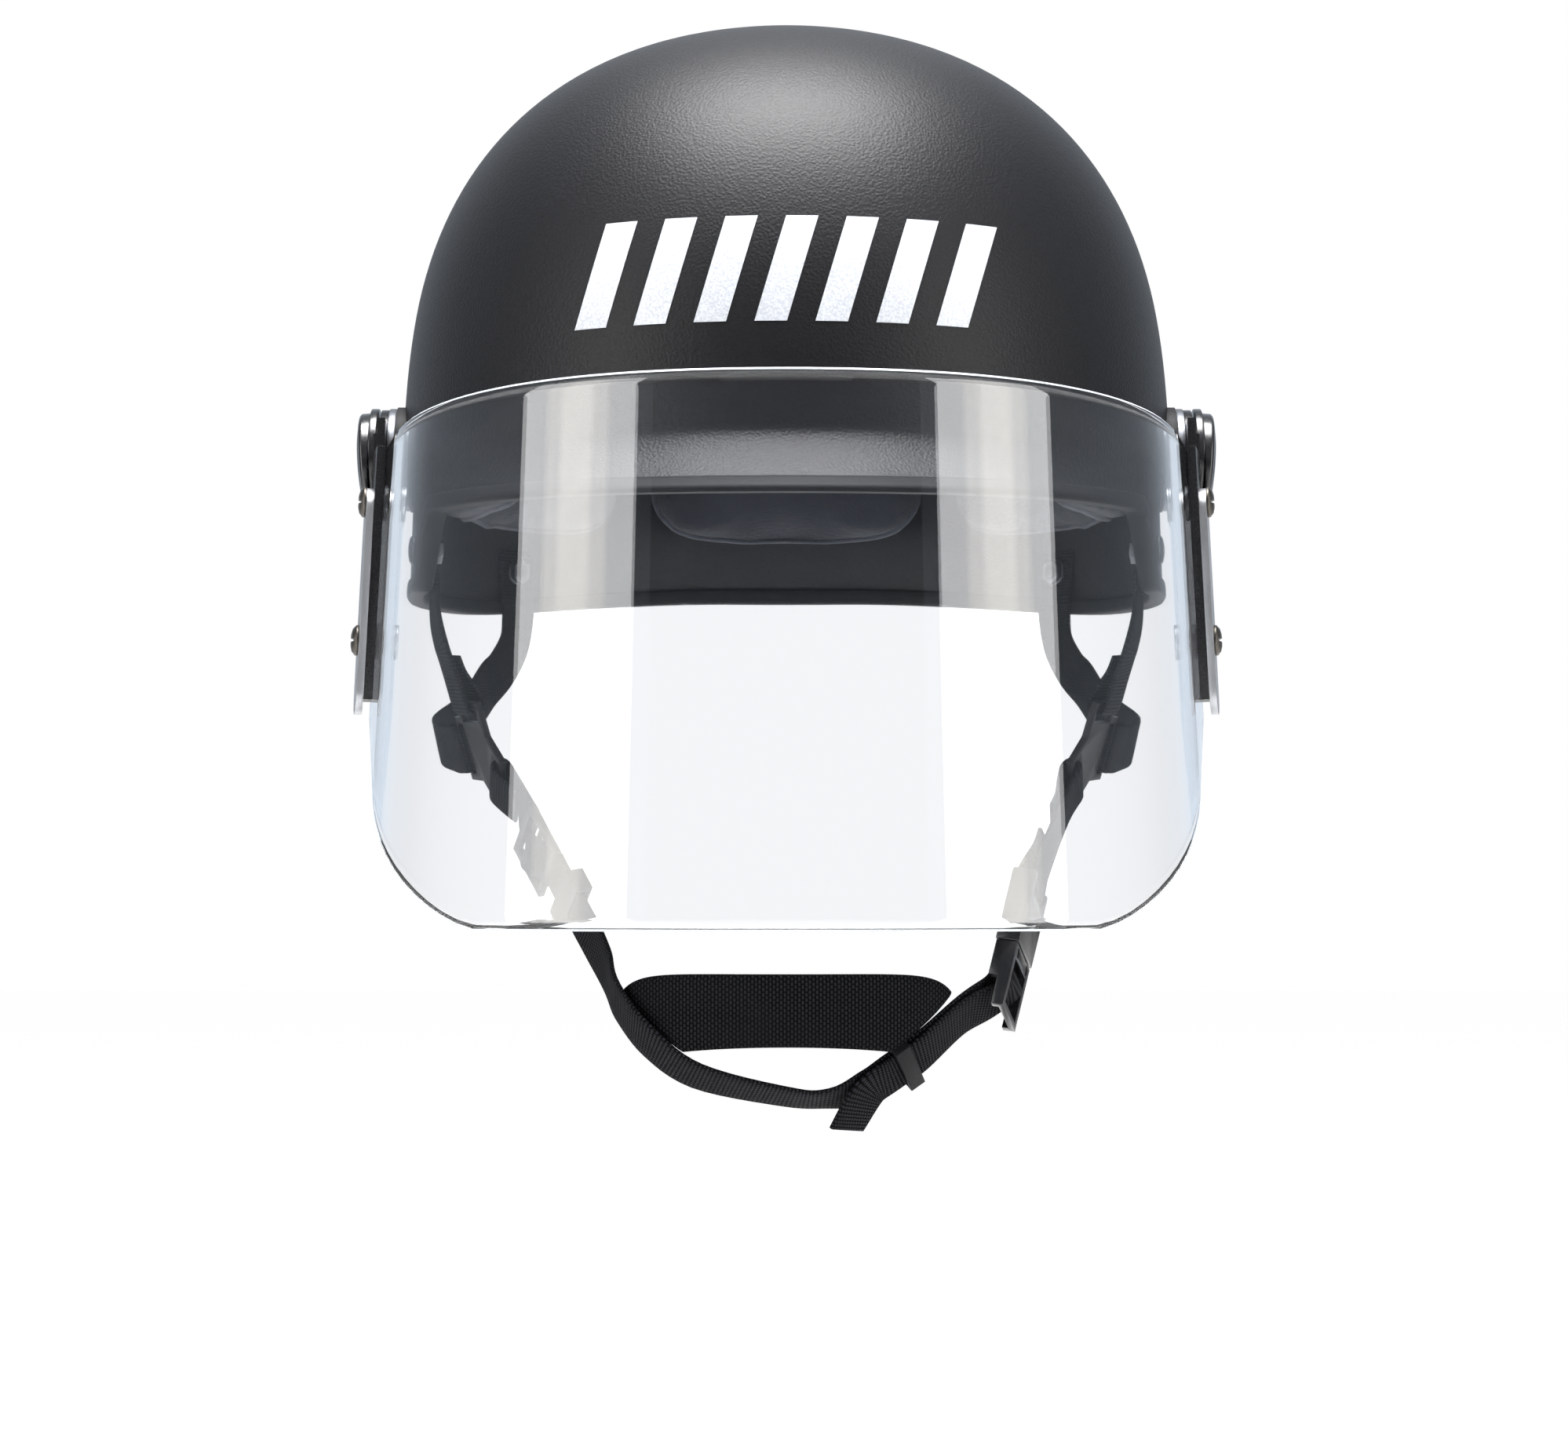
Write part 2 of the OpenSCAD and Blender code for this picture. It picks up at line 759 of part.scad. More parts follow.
module strap_screws() {
    color("#3c3d41")
    for (k = [0:3])
        at_anchor(k)
        rotate([0, 90, 0]) {
            translate([0, 0, 0.35])
            rotate_extrude($fn = 48)
            polygon([[0, 0], [4.6, 0], [4.6, 0.5], [3.7, 1.4], [1.8, 1.9], [0, 2]]);
            translate([0, 0, -9.7])
            cylinder(h = 10.5, r = anchor_screw_r, $fn = 32);
        }
}

module strap_washers() {
    color("#a6a9ae")
    for (k = [0:3])
        at_anchor(k)
        rotate([0, 90, 0])
        translate([0, 0, -7])
        difference() {
            cylinder(h = 0.8, r = 4.2, $fn = 48);
            translate([0, 0, -1])
            cylinder(h = 3, r = anchor_screw_r + 0.1, $fn = 32);
        }
}

module strap_nuts() {
    color("#a6a9ae")
    for (k = [0:3])
        at_anchor(k)
        rotate([0, 90, 0])
        translate([0, 0, -9.25])
        difference() {
            cylinder(h = 2.2, r = 4.2, $fn = 6);
            translate([0, 0, -1])
            cylinder(h = 5, r = anchor_screw_r + 0.02, $fn = 32);
        }
}

// Straps: flat bands swept along smooth paths, each path point with the direction its face looks
function curve(a, b, c, d, t) =
    0.5 * (2 * b + (c - a) * t + (2 * a - 5 * b + 4 * c - d) * t * t + (3 * b - a - 3 * c + d) * t * t * t);
function eased(list, steps) =
    let (n = len(list))
    concat(
        [for (i = [0:n - 2]) for (s = [0:steps - 1])
            [for (k = [0, 1]) curve(list[max(0, i - 1)][k], list[i][k], list[i + 1][k], list[min(n - 1, i + 2)][k], s / steps)]],
        [list[n - 1]]
    );

function band_section(list, i, w, t) =
    let (
        n = len(list),
        along = unit(list[min(n - 1, i + 1)][0] - list[max(0, i - 1)][0]),
        across = unit(cross(along, list[i][1])),
        face = cross(across, along),
        p = list[i][0]
    )
    [
        p + across * w / 2 + face * t / 2,
        p + across * w / 2 - face * t / 2,
        p - across * w / 2 - face * t / 2,
        p - across * w / 2 + face * t / 2
    ];

module band(points, w, t, steps = 3) {
    list = eased(points, steps);
    section_solid([for (i = [0:len(list) - 1]) band_section(list, i, w, t)]);
}

// End of a strap wrapped round a bar: the strap arrives along -along, on the side that out names
function wrapped(bar, along, out) = [
    [bar + along * 9 + out * wrap_r, out],
    [bar + along * 1.2 + out * wrap_r, out],
    [bar - along * 1.35 + out * 2.34, unit(out - along * 0.6)],
    [bar - along * 2.34 + out * 1.35, unit(out * 0.6 - along)],
    [bar - along * wrap_r, -along],
    [bar - along * 2.34 - out * 1.35, unit(-out * 0.6 - along)],
    [bar - along * 1.35 - out * 2.34, unit(-out - along * 0.6)],
    [bar + along * 1.2 - out * wrap_r, -out],
    [bar + along * 6 - out * 1.4, -out],
    [bar + along * 11 + out * 0.3, -out],
    [bar + along * 16 + out * 0.8, -out]
];
function short_wrap(bar, along, out) = [for (k = [0:9]) wrapped(bar, along, out)[k]];
function turned(list) = [for (p = list) [p[0], -p[1]]];
function reversed(list) = [for (i = [len(list) - 1:-1:0]) list[i]];
function bar_point(dir) = yoke_at + dir * yoke_bar;
front_dir = yoke_up;
nape_dir = yoke_back;
jaw_dir = unit(-yoke_up - yoke_back);

function wall_strap(k, z, in = 5.3) = [
    anchor_point(k) - anchor_out(k) * in + [0, 0, z - anchor_point(k).z], anchor_out(k)
];

module left_front_strap() {
    color("#16171a")
    difference() {
        band(concat(
            [wall_strap(0, 20), wall_strap(0, 13), wall_strap(0, 8.6), wall_strap(0, 4.6, 6.9), wall_strap(0, -5, 7)],
            [[bar_point(front_dir) + front_dir * 21 + yoke_out * 3.2, unit(yoke_out + anchor_out(0) * 0.6)]],
            wrapped(bar_point(front_dir), front_dir, yoke_out)
        ), strap_w, strap_t);
        at_anchor(0)
        rotate([0, 90, 0])
        cylinder(h = 30, r = anchor_screw_r + 0.1, center = true, $fn = 32);
    }
}

module right_front_strap() {
    on_right()
    left_front_strap();
}

module left_nape_strap() {
    color("#16171a")
    difference() {
        band(concat(
            [wall_strap(1, 22), wall_strap(1, 15), wall_strap(1, 10.6), wall_strap(1, 6.2, 6.9), wall_strap(1, 0, 7)],
            [
                [[half_w - 28, 83, -9.5], unit([0.84, 0.55, -0.04])],
                [[half_w - 24, 78, -18], unit([0.89, 0.45, -0.08])],
                [[half_w - 20, 71, -23.5], unit([0.93, 0.36, -0.12])],
                [[half_w - 15.5, 45, -34.5], unit([0.97, 0.08, -0.2])],
                [bar_point(nape_dir) + nape_dir * 24 + yoke_out * 1.8 + yoke_up * 2.4, unit([0.93, -0.25, -0.28])]
            ],
            short_wrap(bar_point(nape_dir), nape_dir, yoke_out)
        ), strap_w, strap_t);
        at_anchor(1)
        rotate([0, 90, 0])
        cylinder(h = 30, r = anchor_screw_r + 0.1, center = true, $fn = 32);
    }
}

module right_nape_strap() {
    on_right()
    left_nape_strap();
}

module yoke_arm(angle) {
    rotate([0, 0, angle])
    translate([0, -strap_w / 2 - 2.8])
    square([yoke_bar + bar_w / 2, strap_w + 5.6]);
}

module left_yoke() {
    color("#1d1e21")
    place(yoke_at, yoke_back, yoke_up, yoke_out)
    difference() {
        translate([0, 0, -fitting_t / 2])
        linear_extrude(height = fitting_t) {
            yoke_arm(0);
            yoke_arm(90);
            yoke_arm(225);
            circle(r = 11, $fn = 64);
        }
        for (angle = [0, 90, 225])
            rotate([0, 0, angle])
            translate([yoke_bar - bar_w / 2 - 4, -strap_w / 2 - 0.5, -5])
            cube([4, strap_w + 1, 10]);
    }
}

module right_yoke() {
    on_right()
    left_yoke();
}

// Buckle on the wearer's left: x looks out, y runs across and z points up the strap
module at_buckle() {
    place(buckle_at, buckle_out, buckle_side, -buckle_down)
    children();
}

socket_top = 17;
socket_low = -6.5;
tongue_low = -17;
tab_len = 10;
buckle_w = 21;
buckle_t = 7.4;

module buckle_socket() {
    color("#141518")
    at_buckle()
    difference() {
        translate([-buckle_t / 2, -buckle_w / 2, socket_low])
        cube([buckle_t, buckle_w, socket_top - socket_low]);
        translate([-2.3, -buckle_w / 2 + 1.6, socket_low - 1])
        cube([4.6, buckle_w - 3.2, 15.6]);
        translate([-2.3, -buckle_w, -2])
        cube([4.6, 2 * buckle_w, 8.4]);
        translate([-6, -strap_w / 2 - 0.5, socket_top - bar_w - 3.9])
        cube([12, strap_w + 1, 3.9]);
        translate([1.2, -strap_w / 2 - 0.5, socket_top - bar_w - 1])
        cube([5, strap_w + 1, 8]);
        translate([-6.2, -strap_w / 2 - 0.5, socket_top - bar_w - 1])
        cube([5, strap_w + 1, 8]);
    }
}

prong_root = -8.9;
prong_y = 6.6;

module buckle_tongue() {
    color("#141518")
    at_buckle()
    difference() {
        union() {
            translate([-3.2, -buckle_w / 2, tongue_low - tab_len])
            cube([6.4, buckle_w, socket_low - 0.3 - tongue_low + tab_len]);
            translate([-2, -1.8, socket_low - 1])
            cube([4, 3.6, 13]);
        }
        translate([-6, -strap_w / 2 - 0.5, tongue_low + bar_w])
        cube([12, strap_w + 1, 3.4]);
        translate([-6, -strap_w / 2 - 0.5, tongue_low - tab_len + 2])
        cube([12, strap_w + 1, tab_len - 2]);
        translate([-6, -strap_w / 2 - 0.5, tongue_low - tab_len - 1])
        cube([7.6, strap_w + 1, tab_len + 1]);
        translate([-6, -buckle_w, tongue_low - tab_len - 1])
        cube([5.6, 2 * buckle_w, tab_len]);
        translate([1.2, -strap_w / 2 - 0.5, tongue_low - 1])
        cube([5, strap_w + 1, bar_w + 2]);
        translate([-6.2, -strap_w / 2 - 0.5, tongue_low - 1])
        cube([5, strap_w + 1, bar_w + 2]);
        for (s = [-1, 1])
            translate([0, s * prong_y, prong_root])
            rotate([0, 90, 0])
            cylinder(h = 12, r = 1.5 + run_gap, center = true, $fn = 32);
        for (s = [-1, 1])
            translate([-2.4, s * prong_y - 1.9, prong_root])
            cube([4.8, 3.8, 6]);
    }
}

// Sprung prong of the tongue: a pin across the tongue and an arm with a catch that fills the side window
module prong() {
    rotate([0, 90, 0])
    cylinder(h = 5.8, r = 1.5, center = true, $fn = 32);
    translate([-1.8, 0, 0])
    rotate([0, 90, 0])
    linear_extrude(height = 3.6)
    polygon([
        [0.6, -0.9], [-8, -0.9], [-13.4, -0.9], [-14.4, 0.4], [-13.6, 2.6], [-8.4, 3.8], [-7.6, 1.1], [0.6, 1]
    ]);
}

module front_prong() {
    color("#1d1f24")
    at_buckle()
    translate([0, -prong_y, prong_root])
    mirror([0, 1, 0])
    prong();
}

module rear_prong() {
    color("#1d1f24")
    at_buckle()
    translate([0, prong_y, prong_root])
    prong();
}

socket_bar = buckle_at - buckle_down * (socket_top - bar_w / 2);
tongue_bar = buckle_at - buckle_down * (tongue_low + bar_w / 2);

module left_jaw_strap() {
    color("#16171a")
    band(concat(
        reversed(wrapped(bar_point(jaw_dir), jaw_dir, yoke_out)),
        wrapped(socket_bar, -buckle_down, buckle_out)
    ), strap_w, strap_t);
}

tail_at = [half_w - 89, -85.2, -145];
tail_along = unit([-0.8, -0.14, -0.56]);
tail_out = unit(cross(cross(tail_along, [0.35, -0.62, -0.7]), tail_along));
layer_gap = 0.5;
tail_in = strap_t + layer_gap;
glide_r_along = unit([0.43, -0.5, -0.75]);
glide_r_at = flip(bar_point(jaw_dir)) + glide_r_along * 28;
glide_r_out = unit(cross(cross(glide_r_along, [-0.8, -0.5, -0.2]), glide_r_along));

// Path of a strap through a slider, over its middle bar
function woven(at, along, out) = [
    [at - along * 12 - out * 2.4, out],
    [at - along * 8.5 - out * 2.4, out],
    [at - along * 4.3, unit(out - along * 0.75)],
    [at - along * 1.2 + out * 2.5, out],
    [at + along * 1.2 + out * 2.5, out],
    [at + along * 4.3, unit(out + along * 0.75)],
    [at + along * 8.5 - out * 2.4, out],
    [at + along * 12 - out * 2.4, out]
];

module tri_glide() {
    color("#1d1e21")
    place(glide_r_at, glide_r_along, cross(glide_r_out, glide_r_along), glide_r_out)
    difference() {
        translate([-10, -strap_w / 2 - 3, -fitting_t / 2])
        cube([20, strap_w + 6, fitting_t]);
        for (s = [-1, 1])
            translate([s * 4.4 - 3.2, -strap_w / 2 - 0.5, -5])
            cube([6.4, strap_w + 1, 10]);
    }
}

jaw_r = flip(bar_point(jaw_dir));
jaw_r_dir = flip(jaw_dir);
out_r = flip(yoke_out);
run_start = glide_r_at + glide_r_along * 12 - glide_r_out * 2.4;
run_end = run_start + glide_r_along * (2 * keeper_travel + 9);
keeper_mid = (run_start + run_end) / 2;
pull_dir = unit(cross(buckle_side, cross(tail_at - tongue_bar, buckle_side)));
pull_out = cross(pull_dir, buckle_side);
pull_mid = [half_w - 68.8, -76, -128];
pull_face = unit([0.68, -0.5, -0.52]);
pull_skew = buckle_side * ((pull_mid - tongue_bar) * buckle_side) * 0.2;

module under_chin_strap() {
    color("#16171a")
    band(concat(
        turned(reversed([for (p = short_wrap(bar_point(jaw_dir), jaw_dir, -yoke_out)) [flip(p[0]), flip(p[1])]])),
        woven(glide_r_at, glide_r_along, glide_r_out),
        [
            [run_end, glide_r_out],
            [run_end + glide_r_along * 8, glide_r_out],
            [[-52.8, -69.6, -115.2], unit([-0.8, -0.53, -0.3])],
            [[-49.4, -79.8, -123.8], unit([-0.74, -0.51, -0.43])],
            [[-40.4, -89.4, -135], unit([-0.66, -0.52, -0.54])],
            [[-26, -91, -145.2], unit([-0.42, -0.5, -0.76])],
            [[0, -88, -151.4], unit([0, -0.36, -0.93])],
            [[12, -87.2, -151.9], unit([0.2, -0.36, -0.9])],
            [tail_at + tail_along * 9 - tail_out * (tail_in + 0.1), tail_out],
            [tail_at - tail_out * tail_in, tail_out],
            [tail_at - tail_along * 11 - tail_out * tail_in, tail_out],
            [pull_mid - pull_face * tail_in / 2, pull_face],
            [tongue_bar + pull_dir * 7 - pull_out * 2 + pull_skew, pull_out]
        ],
        turned([for (k = [1:7]) wrapped(tongue_bar, pull_dir, -pull_out)[k]]),
        [
            [tongue_bar + pull_dir * 7 + pull_out * 2 + pull_skew, -pull_out],
            [pull_mid + pull_face * tail_in / 2, -pull_face],
            [tail_at - tail_along * 11, -tail_out],
            [tail_at, -tail_out],
            [tail_at + tail_along * 9 + tail_out * 0.3, -tail_out],
            [[17.5, -83, -161], unit([-0.5, 0.5, 0.7])]
        ]
    ), strap_w, strap_t);
}

function chin_point(a, z, off) =
    let (n = unit([sin(a) / 53, -cos(a) / 42, 0]))
    [53 * sin(a), -62 - 42 * cos(a), z] + n * off;
function chin_top(t) = -115.6 - 5.5 * pow(abs(t), 6);
function chin_row(t, k, off) =
    chin_point(mixed(64.5, 34, k) * t, mixed(chin_top(t), chin_top(0) - chin_w - 1.5 * t * t, k), off);

module chin_cup() {
    color("#111214")
    section_solid([for (i = [0:24])
        let (t = i / 12 - 1)
        concat(
            [for (k = [0, 0.5, 1]) chin_row(t, k, chin_t / 2)],
            [for (k = [1, 0.5, 0]) chin_row(t, k, -chin_t / 2)]
        )]);
}

module strap_keeper() {
    color("#1d1e21")
    place(keeper_mid, glide_r_along, cross(glide_r_out, glide_r_along), glide_r_out)
    difference() {
        translate([-4, -strap_w / 2 - 2.2, -3])
        cube([8, strap_w + 4.4, 6]);
        translate([-6, -strap_w / 2 - 0.5, -1.8])
        cube([12, strap_w + 1, 3.6]);
    }
}

// Rubber loop that holds the free end of the strap against it
module tail_keeper() {
    color("#101012")
    place(
        tail_at - tail_along * 5 - tail_out * tail_in / 2,
        tail_along, cross(tail_out, tail_along), tail_out
    )
    difference() {
        translate([-2.5, -strap_w / 2 - 2.1, -tail_in / 2 - strap_t / 2 - 1.5])
        cube([5, strap_w + 4.2, tail_in + strap_t + 3]);
        translate([-4, -strap_w / 2 - 0.8, -tail_in / 2 - strap_t / 2 - 0.4])
        cube([8, strap_w + 1.6, tail_in + strap_t + 0.8]);
    }
}

shell();
edge_trim();
crown_pad();
front_pad();
rear_pad();
left_front_pad();
right_front_pad();
left_rear_pad();
right_rear_pad();
hook_discs();
left_gasket();
right_gasket();
left_hinge_base();
right_hinge_base();
left_t_nut();
right_t_nut();
left_pivot_bolt();
right_pivot_bolt();
left_friction_washer();
right_friction_washer();
left_wave_spring();
right_wave_spring();
left_hinge_disc();
right_hinge_disc();
left_hinge_cap();
right_hinge_cap();
left_front_strap();
right_front_strap();
left_nape_strap();
right_nape_strap();
left_yoke();
right_yoke();
left_jaw_strap();
under_chin_strap();
chin_cup();
tri_glide();
strap_keeper();
tail_keeper();
strap_screws();
strap_washers();
strap_nuts();
buckle_socket();
buckle_tongue();
front_prong();
rear_prong();
face_shield();
left_arm();
right_arm();
left_clamp_plate();
right_clamp_plate();
shield_screws();
shield_posts();
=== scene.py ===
import json
import logging
import math
from dataclasses import dataclass, field
from enum import Enum
from typing import Callable, Sequence

import bmesh
import bpy
from mathutils import Matrix, Vector
from mathutils.bvhtree import BVHTree

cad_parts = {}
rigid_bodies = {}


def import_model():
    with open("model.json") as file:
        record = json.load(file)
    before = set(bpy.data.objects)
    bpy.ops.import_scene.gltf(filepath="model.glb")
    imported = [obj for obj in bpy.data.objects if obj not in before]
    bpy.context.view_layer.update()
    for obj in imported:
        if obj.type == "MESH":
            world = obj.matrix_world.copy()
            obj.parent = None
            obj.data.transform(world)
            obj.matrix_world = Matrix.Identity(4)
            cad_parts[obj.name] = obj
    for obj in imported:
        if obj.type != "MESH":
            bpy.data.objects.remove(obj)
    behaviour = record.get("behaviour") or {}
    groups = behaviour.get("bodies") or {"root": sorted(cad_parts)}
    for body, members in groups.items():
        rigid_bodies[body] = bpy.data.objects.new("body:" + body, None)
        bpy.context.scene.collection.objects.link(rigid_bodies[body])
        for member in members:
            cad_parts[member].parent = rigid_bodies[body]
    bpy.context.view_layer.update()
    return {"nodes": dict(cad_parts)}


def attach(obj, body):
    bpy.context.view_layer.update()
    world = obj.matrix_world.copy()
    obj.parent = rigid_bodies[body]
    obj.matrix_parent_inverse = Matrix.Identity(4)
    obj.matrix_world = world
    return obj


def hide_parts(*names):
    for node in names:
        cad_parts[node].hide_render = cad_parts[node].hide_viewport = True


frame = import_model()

LOG = logging.getLogger("helmet")
MM = 0.001
WELD = 1e-6

Socket = bpy.types.NodeSocket
Node = bpy.types.Node
Tree = bpy.types.NodeTree
Material = bpy.types.Material
Piece = bpy.types.Object
Mesh = bmesh.types.BMesh
Colour = tuple[float, float, float]
Place = Callable[[float, float], Vector]
Route = list[tuple[Vector, Vector]]
Triple = tuple[float, float, float]

WHITE: Colour = (1.0, 1.0, 1.0)
WARM: Colour = (1.0, 0.93, 0.8)
BLACK: Colour = (0.0055, 0.0057, 0.0065)


class Side(Enum):
    """Side of the wearer, with the sign of X on it."""

    LEFT = 1
    RIGHT = -1

    @property
    def word(self) -> str:
        """Prefix that the CAD nodes of this side carry."""
        return self.name.lower()


class Body(Enum):
    """CAD bodies that pieces ride on."""

    HELMET = "helmet"
    VISOR = "visor"
    KEEPER = "keeper"
    FRONT_PRONG = "front_prong"
    REAR_PRONG = "rear_prong"


# Node graphs


class Graph:
    """Small wrapper round a node tree that adds and links nodes."""

    COLOUR_INPUTS = (0, 6, 7)
    COLOUR_OUTPUT = 2

    def __init__(self, tree: Tree) -> None:
        """Keeps the node tree of a material, world or group."""
        self.tree = tree

    def add(self, kind: str, **settings: object) -> Node:
        """Adds a node.

        Args:
            kind: Node type name without the ShaderNode prefix.
            **settings: Attributes to set, or inputs named in_Name with spaces as underscores.

        Returns:
            The new node.
        """
        node = self.tree.nodes.new("ShaderNode" + kind)
        for key, value in settings.items():
            if key.startswith("in_"):
                self.feed(node.inputs[key[3:].replace("_", " ")], value)
            else:
                setattr(node, key, value)
        return node

    def feed(self, socket: Socket, value: object) -> None:
        """Links a socket, or sets its value.

        Args:
            socket: Input to fill.
            value: An output socket, or a plain value.
        """
        if isinstance(value, Socket):
            self.tree.links.new(value, socket)
        else:
            socket.default_value = value

    def math(self, operation: str, *values: object) -> Socket:
        """Adds a Math node.

        Args:
            operation: Blender's name of the operation.
            *values: Sockets or numbers for its inputs.

        Returns:
            Its output.
        """
        node = self.add("Math", operation=operation)
        for socket, value in zip(node.inputs, values):
            self.feed(socket, value)
        return node.outputs[0]

    def scaled(self, value: object, factor: object, plus: object = None) -> Socket:
        """Multiplies a value, and adds to it where an amount is given.

        Args:
            value: Socket or number to multiply.
            factor: What it is multiplied by.
            plus: What is added, if anything.

        Returns:
            The result.
        """
        product = self.math("MULTIPLY", value, factor)
        return product if plus is None else self.math("ADD", product, plus)

    def rest(self, value: object) -> Socket:
        """What is left of 1 beside a value."""
        return self.math("SUBTRACT", 1.0, value)

    def humps(self, value: object) -> Socket:
        """Row of round humps, one for each whole step of a value."""
        return self.math("ABSOLUTE", self.math("SINE", self.math("MULTIPLY", value, math.pi)))

    def noise(self, vector: object, scale: object, detail: float = 2.0, rough: float = 0.5) -> Socket:
        """Adds a Noise Texture.

        Args:
            vector: Coordinates.
            scale: Features per metre.
            detail: Octaves.
            rough: Weight of the finer octaves.

        Returns:
            Its value output.
        """
        node = self.add("TexNoise", in_Vector=vector, in_Scale=scale, in_Detail=detail, in_Roughness=rough)
        return node.outputs[0]

    def ramp(self, value: object, low: float, high: float, out: tuple[float, float] = (0.0, 1.0)) -> Socket:
        """Maps a value smoothly from one range to another.

        Args:
            value: Input value.
            low: Value that gives the first output.
            high: Value that gives the second output.
            out: The two outputs.

        Returns:
            The mapped value.
        """
        node = self.add(
            "MapRange", interpolation_type="SMOOTHSTEP", in_Value=value, in_From_Min=low, in_From_Max=high,
            in_To_Min=out[0], in_To_Max=out[1],
        )
        return node.outputs[0]

    def mix(self, factor: object, a: object, b: object) -> Socket:
        """Mixes two colours.

        Args:
            factor: Share of the second colour.
            a: First colour.
            b: Second colour.

        Returns:
            The mixed colour.
        """
        node = self.add("Mix", data_type="RGBA")
        for number, value in zip(self.COLOUR_INPUTS, (factor, a, b)):
            self.feed(node.inputs[number], value)
        return node.outputs[self.COLOUR_OUTPUT]

    def mapped(self, vector: object, **settings: object) -> Socket:
        """Coordinates after a Mapping node with these inputs."""
        return self.add("Mapping", in_Vector=vector, **settings).outputs[0]

    def coords(self, kind: str = "Object") -> Socket:
        """An output of a Texture Coordinate node."""
        return self.add("TexCoord").outputs[kind]


class Group:
    """Shader node group with named inputs and outputs, built once."""

    def __init__(self, name: str, inputs: Sequence[str], outputs: Sequence[str]) -> None:
        """Makes the empty group, whose first input is the coordinates.

        Args:
            name: Name of the group.
            inputs: Names of its number inputs.
            outputs: Names of its outputs.
        """
        self.tree = bpy.data.node_groups.new(name, "ShaderNodeTree")
        sockets = [("Coords", "INPUT", "Vector")] + [(label, "INPUT", "Float") for label in inputs]
        for label, way, kind in sockets + [(label, "OUTPUT", "Float") for label in outputs]:
            self.tree.interface.new_socket(label, in_out=way, socket_type="NodeSocket" + kind)
        self.graph = Graph(self.tree)
        self.start = self.tree.nodes.new("NodeGroupInput")
        self.end = self.tree.nodes.new("NodeGroupOutput")

    def source(self, label: str = "Coords") -> Socket:
        """What the group is given under this name."""
        return self.start.outputs[label]

    def give(self, **values: Socket) -> Tree:
        """Links values to the outputs of their names, and hands over the finished group."""
        for label, value in values.items():
            self.tree.links.new(value, self.end.inputs[label])
        return self.tree


